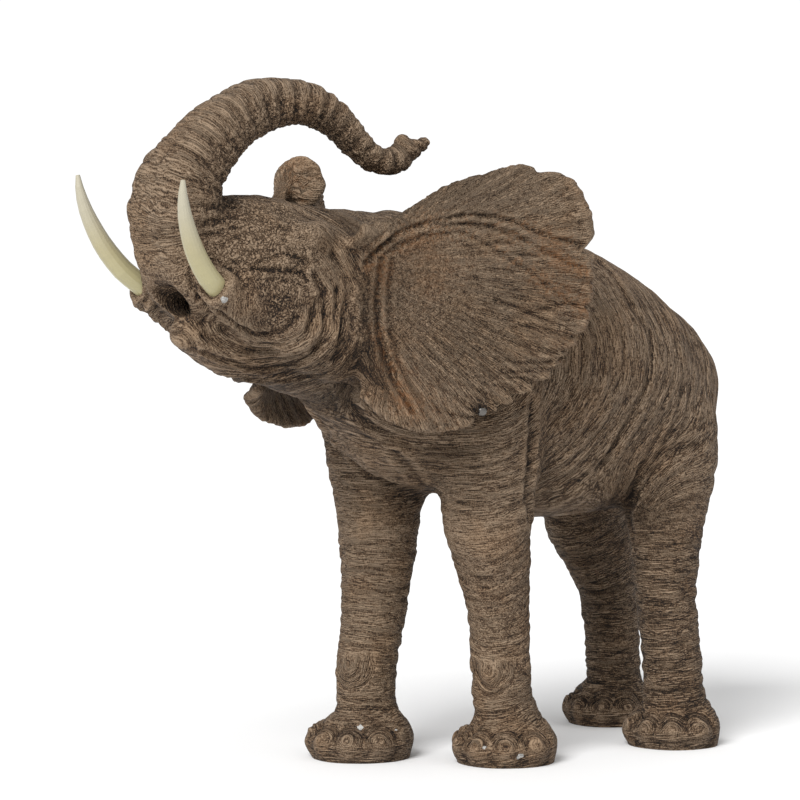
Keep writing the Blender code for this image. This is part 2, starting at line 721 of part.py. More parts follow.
def make_casting():
    ears = (
        Ear(mirrored(EAR_ROOT), EAR_RIM_LEFT),
        Ear(EAR_ROOT, EAR_RIM_RIGHT),
    )
    casting = new_object("elephant", gather_forms(ears).mesh("elephant"))
    melt(casting)
    mouth = Skin()
    mouth.tube(MOUTH, rings=16)
    cut(casting, cutter("mouth", mouth))
    melt(casting)
    soften = casting.modifiers.new("soften", "SMOOTH")
    soften.factor = 0.5
    soften.iterations = 6
    baked(casting)
    carve(casting, ears)
    thin = casting.modifiers.new("thin", "DECIMATE")
    triangles = sum(len(face.vertices) - 2 for face in casting.data.polygons)
    thin.ratio = CASTING_TRIANGLES / triangles
    thin.use_collapse_triangulate = True
    baked(casting)
    floor_cut(casting.data)
    return casting


def tusk_path(side):
    path = np.array(TUSK if side > 0 else mirrored(TUSK), float)
    if side > 0:
        path[:, :3] += TUSK_RIGHT_SHIFT
    return path


def rod(base, axis, radius, low, high):
    """Rings of a straight round rod along axis, from low to high past base, in metres."""
    around = circle(axis, SEAT_SIDES) * radius
    ring = np.array([base + axis * step + around for step in (low, high)])
    return ring, np.array([base + axis * low, base + axis * high])


def make_tusk(name, side, casting):
    """A tusk whose straight root stands in its socket, and the socket that is cut for it."""
    path = tusk_path(side)
    base = path[0, :3] * HEIGHT
    axis = unit((path[1, :3] - path[0, :3]))
    root = base - axis * TUSK_SEAT
    stations = [(*root / HEIGHT, 1, 1), (*(base - axis * TUSK_SEAT / 2) / HEIGHT, 1, 1), *path]
    half = TUSK_DIAMETER / 2 / HEIGHT
    skin = Skin()
    skin.tube([(x, y, z, a * half, b * half) for x, y, z, a, b in stations], rings=13, sides=16)
    tusk = new_object(name, skin.mesh(name))
    tusk.data.shade_smooth()
    seat = Skin()
    reach = TUSK_DIAMETER
    seat.rings(*rod(base, axis, TUSK_DIAMETER / 2 + SEAT_GAP, -TUSK_SEAT - SEAT_GAP, reach))
    cut(casting, cutter(name + "_seat", seat))
    return tusk


def make_pin(casting):
    """A round pin whose low domed head shows under the left ear."""
    base = np.array(PIN_PLACE) * HEIGHT
    axis = unit(np.array(PIN_AXIS))
    radius = PIN_DIAMETER / 2
    around = circle(axis, 16)
    ring = [base - axis * PIN_SEAT + around * radius, base + around * radius]
    for t in (0.4, 0.8):
        height = PIN_PROUD * math.sin(t * math.pi / 2)
        ring.append(base + axis * height + around * radius * math.cos(t * math.pi / 2))
    skin = Skin()
    skin.rings(np.array(ring), np.array([base - axis * PIN_SEAT, base + axis * PIN_PROUD]))
    pin = new_object("ear_pin", skin.mesh("ear_pin"))
    seat = Skin()
    seat.rings(*rod(base, axis, radius + SEAT_GAP, -PIN_SEAT - SEAT_GAP, 3 * PIN_DIAMETER))
    cut(casting, cutter("ear_pin_seat", seat))
    return pin


def dress(obj, colour, roughness, metallic=0.0):
    material = bpy.data.materials.new(obj.name)
    material.use_nodes = True
    shader = material.node_tree.nodes["Principled BSDF"]
    shader.inputs["Base Color"].default_value = (*colour, 1)
    shader.inputs["Roughness"].default_value = roughness
    shader.inputs["Metallic"].default_value = metallic
    obj.data.materials.clear()
    obj.data.materials.append(material)


def centre_over_origin():
    """Moves every shape sideways until the middle of the figure's box is over the origin."""
    shown = [obj for obj in bpy.data.objects if not obj.hide_render]
    points = np.array([vertex.co for obj in shown for vertex in obj.data.vertices])
    middle = (points.min(axis=0) + points.max(axis=0)) / 2
    for obj in bpy.data.objects:
        obj.data.transform(Matrix.Translation((-middle[0], -middle[1], 0)))


def main():
    for obj in list(bpy.data.objects):
        bpy.data.objects.remove(obj, do_unlink=True)
    casting = make_casting()
    dress(casting, (0.13, 0.095, 0.065), 0.65)
    for name, side in (("tusk_left", -1), ("tusk_right", 1)):
        dress(make_tusk(name, side, casting), (0.58, 0.52, 0.36), 0.3)
    dress(make_pin(casting), (0.35, 0.35, 0.35), 0.35, 1.0)
    centre_over_origin()


main()
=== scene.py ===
"""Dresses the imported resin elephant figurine: its carved skin, tusks, pin, finishes and studio.

The head looks along -X, the left side faces -Y and the feet stand on z = 0. The body's
forms are shares of the figure's height, in a plan whose own origin is PLAN_ORIGIN.
"""

import logging
import math
from dataclasses import dataclass
from enum import IntEnum
from typing import Sequence

import bpy
import numpy as np
from mathutils import Matrix, Vector, noise
from mathutils.kdtree import KDTree


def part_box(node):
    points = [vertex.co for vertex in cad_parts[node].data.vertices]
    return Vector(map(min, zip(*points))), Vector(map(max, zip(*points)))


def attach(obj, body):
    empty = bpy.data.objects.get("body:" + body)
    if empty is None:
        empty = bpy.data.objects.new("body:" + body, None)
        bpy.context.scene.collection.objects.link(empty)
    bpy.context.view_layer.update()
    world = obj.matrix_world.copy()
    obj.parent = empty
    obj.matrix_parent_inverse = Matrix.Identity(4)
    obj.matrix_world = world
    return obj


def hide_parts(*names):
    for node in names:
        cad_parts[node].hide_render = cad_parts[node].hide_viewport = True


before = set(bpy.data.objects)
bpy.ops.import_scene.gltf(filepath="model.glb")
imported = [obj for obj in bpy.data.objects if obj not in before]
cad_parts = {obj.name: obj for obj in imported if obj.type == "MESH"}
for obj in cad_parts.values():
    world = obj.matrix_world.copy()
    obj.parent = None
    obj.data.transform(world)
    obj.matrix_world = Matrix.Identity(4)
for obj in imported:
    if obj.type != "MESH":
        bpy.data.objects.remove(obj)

log = logging.getLogger("elephant")
Points = np.ndarray
Colour = tuple[float, float, float]


def shares(*rows: Sequence[float]) -> Points:
    """Rows given in thousandths, as shares of one."""
    return np.array(rows) / 1000


class Side(IntEnum):
    """A side of the body, as the sign of its y."""

    LEFT = -1
    RIGHT = 1


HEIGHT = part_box("elephant")[1][2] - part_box("elephant")[0][2]
PLAN_ORIGIN = (0.2106, -0.0439)  # of the stations, from the middle of the figure

# How the skin is made. Lengths are shares of the height, here and below
GRAIN = 0.0072  # at which the forms are melted into one skin
FINE_GRAIN = 0.0043  # at which it is carved
SOFTENING = 12  # rounds of smoothing before it is carved
DEEPEST = 0.0035  # depth of a hollow that takes the whole dark wash
SKIN_TRIANGLES = 190000

# A station is (x, y, z, half width, half depth) in thousandths. The width lies across the
# body, and the depth across both the width and the run of the form.
TORSO = shares(
    (-440, 0, 610, 50, 50),
    (-410, 0, 612, 100, 104),
    (-340, 0, 618, 138, 160),
    (-240, 0, 605, 158, 195),
    (-120, 0, 585, 170, 208),
    (0, 0, 558, 178, 212),
    (90, 0, 538, 174, 196),
    (172, 0, 522, 158, 172),
    (240, 0, 516, 136, 143),
    (281, 0, 511, 110, 116),
    (311, 0, 507, 80, 87),
    (325, 0, 505, 50, 58),
)
HEAD = shares(
    (-250, 0, 648, 80, 100),
    (-300, 0, 658, 124, 152),
    (-380, 0, 678, 132, 138),
    (-460, 0, 702, 130, 120),
    (-540, 0, 722, 118, 110),
    (-610, 0, 736, 100, 101),
    (-660, 0, 745, 78, 80),
    (-690, 0, 748, 50, 50),
)
CHEEK = shares(
    (-400, 60, 628, 40, 50),
    (-450, 74, 630, 52, 62),
    (-510, 80, 640, 50, 56),
    (-560, 76, 654, 40, 44),
    (-600, 70, 666, 26, 30),
)
BROW = shares(
    (-480, 92, 778, 22, 26),
    (-530, 100, 772, 24, 26),
    (-580, 92, 765, 18, 20),
)
JAW = shares(
    (-400, 0, 598, 70, 66),
    (-480, 0, 614, 85, 62),
    (-560, 0, 614, 72, 44),
    (-620, 0, 624, 52, 30),
    (-664, 0, 640, 36, 22),
    (-680, 0, 646, 22, 15),
)
MOUTH = shares(
    (-550, 0, 648, 8, 5),
    (-590, 0, 664, 22, 9),
    (-640, 0, 680, 30, 15),
    (-700, 0, 692, 32, 19),
    (-760, 0, 698, 36, 22),
)
TRUNK = shares(
    (-590, 0, 708, 78, 76),
    (-640, 0, 728, 70, 68),
    (-664, 0, 762, 64, 62),
    (-673, 0, 797, 64, 62),
    (-677, -5, 828, 63, 60),
    (-670, -9, 857, 59, 55),
    (-652, -14, 885, 53, 49),
    (-629, -19, 911, 50, 46),
    (-596, -23, 937, 46, 42),
    (-559, -28, 956, 42, 39),
    (-520, -32, 963.2, 38, 36),
    (-473, -37, 959, 34, 30),
    (-430, -42, 940, 30, 26),
    (-400, -46, 912, 26, 22),
    (-376, -51, 889, 23, 20),
    (-345, -56, 878, 22, 20),
    (-318, -60, 887, 22, 20),
    (-303, -63, 903, 19, 18),
)
TRUNK_FINGER = shares(
    (-328, -60, 886, 15, 13),
    (-319, -62, 908, 15, 12),
    (-319, -64, 925, 12, 9),
)
TRUNK_THUMB = shares(
    (-316, -60, 888, 17, 15),
    (-294, -63, 903, 17, 12),
    (-272, -66, 908, 14, 12),
)
SOCKET = shares(
    (-585, 68, 660, 36, 40),
    (-630, 77, 683, 34, 36),
    (-660, 82, 699, 30, 30),
    (-676, 84, 708, 26, 26),
)
# Where a tusk leaves its socket, and the next point along it. The head is turned a little left
TUSK_ROOTS = {
    Side.LEFT: shares((-668, -83, 705), (-692, -88, 724)),
    Side.RIGHT: shares((-682, 83, 712), (-706, 88, 731)),
}
SOCKET_RIMS = ((0.0235, 0.0050, 0.0055), (0.0330, 0.0035, -0.0040))  # radius, width, height
FRONT_LEG_LEFT = shares(
    (-190, -85, 640, 60, 100),
    (-190, -98, 560, 80, 110),
    (-188, -100, 460, 78, 92),
    (-183, -96, 370, 66, 72),
    (-168, -90, 300, 58, 59),
    (-149, -84, 220, 48, 49),
    (-143, -80, 160, 46, 47),
    (-138, -78, 110, 46, 47),
    (-126, -78, 60, 46, 47),
)
FRONT_LEG_RIGHT = shares(
    (-215, 85, 640, 60, 100),
    (-218, 98, 560, 80, 110),
    (-220, 100, 460, 78, 92),
    (-223, 100, 370, 64, 70),
    (-228, 98, 300, 59, 60),
    (-238, 96, 220, 50, 51),
    (-247, 96, 160, 47, 50),
    (-251, 97, 110, 46, 48),
    (-250, 97, 60, 46, 47),
)
HIND_LEG_LEFT = shares(
    (190, -70, 570, 45, 60),
    (189, -88, 500, 70, 85),
    (183, -102, 430, 68, 84),
    (165, -113, 340, 55, 68),
    (160, -118, 270, 49, 54),
    (163, -120, 200, 46, 48),
    (172, -121, 130, 46, 48),
    (180, -122, 60, 47, 49),
)
HIND_LEG_RIGHT = shares(
    (195, 70, 570, 45, 60),
    (198, 88, 500, 70, 90),
    (200, 102, 430, 70, 90),
    (212, 106, 340, 60, 84),
    (238, 106, 270, 50, 64),
    (260, 106, 200, 46, 50),
    (269, 106, 130, 44, 46),
    (272, 106, 60, 44, 45),
)
# Rows of a foot from the ankle down: set back in radii, height, and width in radii
FOOT_ROWS = (
    (0.30, 0.090, 0.48),
    (0.20, 0.068, 0.64),
    (0.06, 0.052, 0.88),
    (0.00, 0.030, 1.04),
    (0.00, 0.008, 0.98),
    (0.00, -0.030, 0.88),
)
TAIL = shares(
    (270, 0, 620, 26, 26),
    (306, 0, 596, 22, 22),
    (332, 4, 530, 16, 16),
    (334, 10, 450, 13, 13),
    (322, 14, 380, 12, 12),
    (314, 14, 330, 15, 15),
    (308, 12, 290, 6, 6),
)
# Ear outlines run from the top of the root, round the back, to the bottom of the root
EAR_ROOT = shares((-452, 108, 775), (-440, 118, 700), (-436, 118, 620), (-436, 105, 545))
EAR_RIM_LEFT = shares(
    (-464, -128, 788), (-401, -150, 805), (-333, -178, 849), (-284, -196, 866), (-230, -210, 880),
    (-166, -224, 870), (-122, -234, 838), (-104, -238, 773), (-106, -236, 725), (-102, -234, 679),
    (-123, -230, 629), (-170, -222, 579), (-239, -208, 538), (-307, -196, 508), (-374, -184, 497),
    (-420, -166, 512), (-444, -140, 538),
)
EAR_RIM_RIGHT = shares(
    (-450, 135, 784), (-356, 165, 792), (-304, 210, 838), (-252, 255, 866), (-190, 290, 860),
    (-150, 318, 825), (-136, 330, 760), (-160, 318, 690), (-168, 288, 620), (-190, 252, 555),
    (-230, 222, 508), (-280, 198, 486), (-335, 182, 486), (-385, 168, 505), (-425, 148, 545),
)
EAR_THICKNESS = 0.019
EAR_CUP = 0.022  # bow of an ear towards its hollow side
# The right ear's top edge curls forward into a disc
EAR_CURL = (-0.276, 0.222, 0.851)
EAR_CURL_RADIUS = 0.044
EAR_CURL_HALF_THICKNESS = 0.013
EAR_CURL_FACES = (-0.80, -0.60, 0.05)
EAR_REACH = {Side.LEFT: 0.024, Side.RIGHT: 0.045}  # from its sheet, that counts as ear

# Creases of the head and body: rows of points on the left side, in thousandths
EYE_SLIT = shares(
    (-621, -96, 734), (-595, -104, 731), (-570, -111, 730), (-547, -115, 725), (-540, -117, 717),
)
EYE_LID = shares((-616, -97, 742), (-593, -105, 749), (-566, -111, 751), (-541, -115, 742))
EYE_BAG = shares((-600, -103, 718), (-573, -109, 716), (-545, -116, 710))
EYE_BALL = (-0.574, -0.110, 0.741)
EYE_BALL_RADIUS = 0.021
EYE_BALL_HEIGHT = 0.0042
BROW_LINE = shares((-619, -94, 752), (-600, -92, 772), (-575, -96, 786), (-550, -108, 786))
CHEEK_FOLDS = (
    shares((-657, -37, 641), (-615, -51, 622), (-579, -80, 617), (-544, -117, 641), (-521, -121, 690)),
    shares(
        (-651, -29, 615), (-614, -38, 599), (-565, -60, 588), (-527, -118, 612), (-498, -122, 654),
        (-493, -127, 702),
    ),
    shares(
        (-590, -12, 580), (-552, -32, 573), (-506, -65, 575), (-485, -120, 605), (-468, -128, 650),
        (-464, -123, 700),
    ),
    shares((-639, -92, 649), (-604, -96, 640), (-574, -105, 648), (-555, -115, 667)),
)
NECK_FOLDS = (
    shares((-527, -120, 723), (-510, -121, 689), (-512, -123, 647), (-530, -123, 617)),
    shares((-491, -118, 751), (-475, -123, 702), (-481, -130, 653), (-492, -123, 605)),
)
LIP_LINE = shares((-684, -56, 692), (-675, -83, 675), (-640, -91, 649), (-612, -95, 632))
SHOULDER_LINE = shares(
    (-171, -179, 532), (-168, -178, 496), (-166, -174, 452), (-166, -167, 408), (-150, -150, 364),
)
FLANK_FOLDS = (
    shares(
        (36, -103, 733), (56, -146, 677), (83, -165, 618), (70, -175, 559), (23, -171, 487),
        (-5, -147, 428),
    ),
    shares((81, -146, 430), (91, -120, 391), (104, -100, 358), (108, -108, 329)),
    shares((219, -164, 466), (182, -169, 459), (148, -161, 455), (110, -158, 440)),
    shares((-90, -178, 560), (-60, -177, 480), (-20, -160, 420), (40, -140, 385)),
    shares((150, -160, 620), (160, -168, 560), (140, -168, 500), (105, -160, 430)),
)
CHEST_FOLDS = (
    shares((-432, -70, 566), (-407, -55, 529), (-370, -55, 498), (-335, -84, 480)),
    shares((-334, -64, 461), (-300, -58, 438), (-259, -29, 412)),
)
# Rows with the half width and the depth of their grooves, and the height of the rolls
# beside them as a share of the depth
CREASES = (
    ((EYE_SLIT,), 0.0030, 0.0046, 0.3),
    ((EYE_LID,), 0.0034, 0.0030, 0.5),
    ((EYE_BAG,), 0.0032, 0.0020, 0.5),
    ((BROW_LINE,), 0.0050, 0.0024, 0.4),
    (CHEEK_FOLDS, 0.0052, 0.0058, 0.4),
    (NECK_FOLDS, 0.0060, 0.0065, 0.4),
    ((LIP_LINE,), 0.0050, 0.0070, 0.4),
    (FLANK_FOLDS, 0.0070, 0.0048, 0.4),
    ((SHOULDER_LINE,), 0.0085, 0.0075, 0.4),
    (CHEST_FOLDS, 0.0085, 0.0060, 0.4),
)

# Creases of an ear: rows of (place round the fan, place from root to rim) in thousandths
EAR_CREASES = (
    shares((170, 44), (158, 371), (240, 496), (304, 578), (367, 651), (422, 761), (465, 943)),
    shares(
        (190, 33), (218, 269), (269, 382), (322, 466), (371, 497), (431, 574), (488, 703), (532, 815),
        (560, 944),
    ),
    shares((243, 436), (320, 530), (388, 616), (454, 764), (502, 948)),
    shares((519, 523), (555, 676), (578, 797), (594, 904)),
)
EAR_LIP_CREASES = (
    shares((230, 126), (411, 44), (622, 54), (809, 207), (885, 532)),
    shares((260, 165), (431, 88), (645, 123), (807, 343), (848, 686)),
)
EAR_CREASE_DEPTHS = (0.0052, 0.0030, 0.0040, 0.0030)
EAR_LIP_CREASE_DEPTHS = (0.0050, 0.0020)
EAR_NOTCHES = ((0.315, 0.016, 0.014), (0.472, 0.009, 0.020))  # share round the fan, width, depth
EAR_SCALLOPS = (0.560, 0.596, 0.624, 0.653, 0.682, 0.712, 0.738, 0.762, 0.790, 0.822)
EAR_SCALLOP_DEPTH = 0.011
EAR_RIB_DEPTH = 0.0050
EAR_RIB_STRENGTH = {Side.LEFT: 1.0, Side.RIGHT: 0.25}
EAR_LIP_HEIGHT = 0.0030

GROIN = (0.095, 0.345)  # (x, z) where the lines of the flank run together
BODY_ARC = (-0.284, 0.600)  # (x, z) that the lines of the body curve round
CHEEK_ARC = (-0.586, 0.683)  # (x, z) that the lines of the cheek curve round
KNEES = ((-0.184, -0.100, 0.140), (-0.300, 0.082, 0.140))
KNEE_RADIUS = 0.042
KNEE_RISE = 0.0070
TOE_ANGLES = (-72, -36, 0, 36, 72)
TOE_HEIGHT = 0.031
TOE_RADIUS = 0.034
TOE_RISE = 0.0065
TOE_CREASE = 0.0018
# Grooves round a knee and a toe: radius and depth
KNEE_RINGS = ((0.014, 0.0020), (0.025, 0.0026), (0.037, 0.0030))
TOE_RINGS = ((0.0150, 0.0034), (0.0225, 0.0024), (0.0300, 0.0022))
TRUNK_RING_PITCH = 0.0255
TRUNK_RING_HEIGHT = 0.0017
COBBLE_PITCH = 0.0165
COBBLE_HEIGHT = 0.0034
LUMP_HEIGHT = 0.0030
NAPE_LUMP_HEIGHT = 0.0034
# Fine wrinkles: pitch, depth, length and a seed of their own
HIDE_WRINKLES = ((0.0180, 0.0034, 0.14, 3.0), (0.0090, 0.0017, 0.08, 5.0))
FACE_WRINKLE = (0.0140, 0.0016, 0.018, 7.0)
EAR_WRINKLES = ((0.0150, 0.0026, 0.12, 11.0), (0.0080, 0.0012, 0.05, 13.0))
TRUNK_WRINKLES = ((0.0105, 0.0026, 0.06, 17.0), (0.0120, 0.0018, 0.02, 19.0))
LEG_WRINKLES = ((0.0165, 0.0028, 0.07, 23.0), (0.0090, 0.0015, 0.05, 29.0))

# Round marks of wear, and of painted shade and dark stain: x, y, z, radius and strength
CHIPS = (
    (-0.299, 0.055, 0.052, 0.011, 1.0),
    (-0.252, 0.028, 0.046, 0.007, 1.0),
    (-0.200, -0.109, 0.031, 0.008, 1.0),
    (-0.165, -0.148, 0.018, 0.013, 1.0),
    (-0.676, -0.104, 0.693, 0.012, 1.0),
)
# Painted shade under the chin and neck, inside the mouth, round the pin, between the front legs and at
# the groin, with a dark stain on the cheek and a darker eye corner
SHADE_AND_STAIN_PLACES = (
    (-0.590, -0.105, 0.667, 0.050, 0.9),
    (-0.551, -0.111, 0.740, 0.017, 0.8),
    (-0.657, 0.000, 0.690, 0.055, 1.0),
    (-0.293, -0.209, 0.531, 0.026, 2.2),
    (-0.455, -0.110, 0.600, 0.095, 1.1),
    (-0.455, 0.110, 0.600, 0.095, 1.1),
    (-0.530, -0.020, 0.570, 0.110, 1.1),
    (-0.420, 0.000, 0.545, 0.110, 1.0),
    (-0.215, 0.000, 0.380, 0.090, 1.0),
    (0.100, -0.090, 0.350, 0.085, 1.0),
    (0.100, 0.090, 0.350, 0.110, 1.0),
)
PALE_PLACES = (
    (-0.505, -0.125, 0.765, 0.085, 0.7),
    (-0.300, 0.060, 0.300, 0.100, 0.4),
)
PIN_PLACE = (-0.288, -0.200, 0.528)
PIN_HOLLOW_RADIUS = 0.024
PIN_HOLLOW_DEPTH = 0.0110
WORN_LINE = shares(
    (-729, -8, 841), (-705, -4, 896), (-683, -10, 925), (-636, -20, 962), (-600, -30, 980),
)


def smooth_row(rows: Points, count: int) -> Points:
    """Reads a Catmull-Rom curve at even steps of its run.

    Args:
        rows: points that the curve passes, with any sizes beside their x, y and z.
        count: how many places are read.

    Returns:
        One row for each place.
    """
    ends = np.vstack([2 * rows[0] - rows[1], rows, 2 * rows[-1] - rows[-2]])
    t = np.linspace(0, 1, 24, endpoint=False)[:, None]
    fine = []
    for before, start, end, after in zip(ends, ends[1:], ends[2:], ends[3:]):
        square = 2 * before - 5 * start + 4 * end - after
        cube = 3 * start - before - 3 * end + after
        fine.append(0.5 * (2 * start + (end - before) * t + square * t**2 + cube * t**3))
    fine = np.vstack(fine + [rows[-1:]])
    steps = np.linalg.norm(np.diff(fine[:, :3], axis=0), axis=1)
    run = np.concatenate([[0], np.cumsum(steps)])
    places = np.linspace(0, run[-1], count)
    return np.stack([np.interp(places, run, column) for column in fine.T], axis=1)


def unit(vectors: Points) -> Points:
    """Vectors at length one."""
    return vectors / np.maximum(np.linalg.norm(vectors, axis=-1, keepdims=True), 1e-9)


def dot(a: Points, b: Points) -> Points:
    """Dot product of each row of a with the same row of b."""
    return np.einsum("ij,ij->i", a, b)


def ease(value: Points, low: float, high: float) -> Points:
    """0 at low, easing to 1 at high."""
    t = np.clip((value - low) / (high - low), 0, 1)
    return t * t * (3 - 2 * t)


def mirrored(rows: Points) -> Points:
    """The same rows on the other side of the body."""
    return np.column_stack([rows[:, 0], -rows[:, 1], rows[:, 2:]])


def nearest(points: Points, targets: Points) -> Points:
    """Index of the target nearest to each point."""
    tree = KDTree(len(targets))
    for index, target in enumerate(targets.tolist()):
        tree.insert(target, index)
    tree.balance()
    return np.array([tree.find(point)[1] for point in points.tolist()])


def grain(points: Points, seed: float) -> Points:
    """Smooth noise from -1 to 1, one bump to a unit of length."""
    return np.array([noise.noise((x + seed, y - seed, z)) for x, y, z in points.tolist()])


def blotches(points: Points, places: Sequence[Sequence[float]], inner: float = 0.3) -> Points:
    """How strongly each point is inside round blotches.

    Args:
        points: in shares.
        places: x, y, z, radius and strength of each blotch.
        inner: share of the radius inside which a blotch has its full strength.

    Returns:
        The strongest blotch's strength at each point.
    """
    found = np.zeros(len(points))
    for *place, radius, strength in places:
        near = ease(-np.linalg.norm(points - place, axis=1), -radius, -inner * radius)
        found = np.maximum(found, strength * near)
    return found


def groove(gap: Points, width: float, power: float = 2.0) -> Points:
    """1 where the gap is 0, falling off over the width."""
    return np.exp(-np.abs(gap / width) ** power)


def circle(axis: Points, sides: int) -> Points:
    """Directions round an axis."""
    across = unit(np.cross(axis, (0, 0, 1)))
    rise = np.cross(across, axis)
    angle = np.arange(sides) * math.tau / sides
    return np.cos(angle)[:, None] * across + np.sin(angle)[:, None] * rise


def to_frame(places: Points) -> Points:
    """Shares of the height in the stations' plan, as metres in the frame."""
    return (places + (*PLAN_ORIGIN, 0)) * HEIGHT


def to_shares(metres: Points) -> Points:
    """Metres in the frame, as shares of the height in the stations' plan."""
    return metres / HEIGHT - (*PLAN_ORIGIN, 0)


class Bench:
    """The modelling steps that every piece uses."""

    @staticmethod
    def clear() -> None:
        """Leaves nothing selected, in object mode."""
        if bpy.context.object and bpy.context.object.mode != "OBJECT":
            bpy.ops.object.mode_set(mode="OBJECT")
        bpy.ops.object.select_all(action="DESELECT")

    @staticmethod
    def pick(obj: bpy.types.Object) -> None:
        """Selects one object alone and makes it active."""
        Bench.clear()
        obj.select_set(True)
        bpy.context.view_layer.objects.active = obj

    @staticmethod
    def points(mesh: bpy.types.Mesh, layer: str = "co") -> Points:
        """The mesh's points, or their normals."""
        values = np.empty(len(mesh.vertices) * 3, np.float32)
        mesh.vertices.foreach_get(layer, values)
        return values.reshape(-1, 3).astype(float)

    @staticmethod
    def triangles(obj: bpy.types.Object) -> int:
        """How many triangles the object's faces make."""
        return sum(len(face.vertices) - 2 for face in obj.data.polygons)

    @staticmethod
    def place(mesh: bpy.types.Mesh, points: Points) -> None:
        """Moves the mesh's points."""
        mesh.vertices.foreach_set("co", points.astype(np.float32).ravel())
        mesh.update()

    @staticmethod
    def ringed(name: str, rings: Points, ends: Points) -> bpy.types.Object:
        """Draws a sphere out along rings of points.

        Args:
            name: of the object.
            rings: rows of sides of points, in metres.
            ends: the first and the last point.

        Returns:
            The drawn out object.
        """
        rows, sides = rings.shape[:2]
        Bench.clear()
        bpy.ops.mesh.primitive_uv_sphere_add(segments=sides, ring_count=rows + 1, radius=1.0)
        obj = bpy.context.object
        obj.name = name
        ball = Bench.points(obj.data)
        polar = np.arccos(np.clip(ball[:, 2], -1, 1))
        row = np.rint(polar / math.pi * (rows + 1)).astype(int)
        side = np.rint(np.arctan2(ball[:, 1], ball[:, 0]) / math.tau * sides).astype(int) % sides
        placed = rings[np.clip(row - 1, 0, rows - 1), side]
        placed[row == 0] = ends[0]
        placed[row == rows + 1] = ends[1]
        Bench.place(obj.data, placed)
        Bench.turn_out(obj)
        return obj

    @staticmethod
    def turn_out(obj: bpy.types.Object) -> None:
        """Points all faces outwards."""
        Bench.pick(obj)
        bpy.ops.object.mode_set(mode="EDIT")
        bpy.ops.mesh.select_all(action="SELECT")
        bpy.ops.mesh.normals_make_consistent(inside=False)
        bpy.ops.object.mode_set(mode="OBJECT")

    @staticmethod
    def apply(obj: bpy.types.Object, kind: str, **settings: object) -> None:
        """Adds a modifier with its settings and works it into the mesh."""
        Bench.pick(obj)
        bpy.ops.object.modifier_add(type=kind)
        modifier = obj.modifiers[-1]
        for name, value in settings.items():
            setattr(modifier, name, value)
        bpy.ops.object.modifier_apply(modifier=modifier.name)

    @staticmethod
    def join(objects: Sequence[bpy.types.Object], name: str) -> bpy.types.Object:
        """Makes one object of several."""
        Bench.pick(objects[0])
        for obj in objects[1:]:
            obj.select_set(True)
        bpy.ops.object.join()
        objects[0].name = name
        return objects[0]

    @staticmethod
    def paint(mesh: bpy.types.Mesh, name: str, values: Points) -> None:
        """Keeps three numbers at each point, for the finish to read."""
        layer = mesh.attributes.new(name, "FLOAT_VECTOR", "POINT")
        layer.data.foreach_set("vector", values.astype(np.float32).ravel())


class Line:
    """A form's centre line with its width and depth directions and half sizes, in shares."""

    def __init__(self, stations: Points, rings: int) -> None:
        rows = smooth_row(stations, rings)
        self.centres = rows[:, :3]
        self.half = rows[:, 3:5]
        run = unit(np.gradient(self.centres, axis=0))
        self.depth = unit(np.cross(run, (0, 1, 0)))
        self.width = unit(np.cross(self.depth, run))
        steps = np.linalg.norm(np.diff(self.centres, axis=0), axis=1)
        self.run = np.concatenate([[0], np.cumsum(steps)])

    def read(self, points: Points) -> tuple[Points, Points, Points]:
        """Where points lie on the line.

        Args:
            points: in shares.

        Returns:
            Run along the line, and place across its width and its depth in half sizes.
        """
        index = nearest(points, self.centres)
        offset = points - self.centres[index]
        along = np.cross(self.width[index], self.depth[index])
        run = self.run[index] + dot(offset, along)
        across = dot(offset, self.width[index]) / self.half[index, 0]
        deep = dot(offset, self.depth[index]) / self.half[index, 1]
        return run, across, deep


@dataclass(frozen=True)
class Form:
    """A smooth form of the body, with oval sections along its stations."""

    name: str
    stations: Points
    rings: int = 40
    sides: int = 28
    squareness: float = 2.0
    outer_squareness: float = 2.0

    def build(self) -> bpy.types.Object:
        """Draws the form.

        Returns:
            The form as a closed object in the frame.
        """
        line = Line(self.stations, self.rings)
        angle = np.arange(self.sides) * math.tau / self.sides
        power = 2 / np.where(np.sin(angle) > 0, self.outer_squareness, self.squareness)
        c = np.sign(np.cos(angle)) * np.abs(np.cos(angle)) ** power
        s = np.sign(np.sin(angle)) * np.abs(np.sin(angle)) ** power
        ring = (
            line.centres[:, None]
            + line.width[:, None] * (line.half[:, :1] * c)[..., None]
            + line.depth[:, None] * (line.half[:, 1:] * s)[..., None]
        )
        return Bench.ringed(self.name, to_frame(ring), to_frame(line.centres[[0, -1]]))


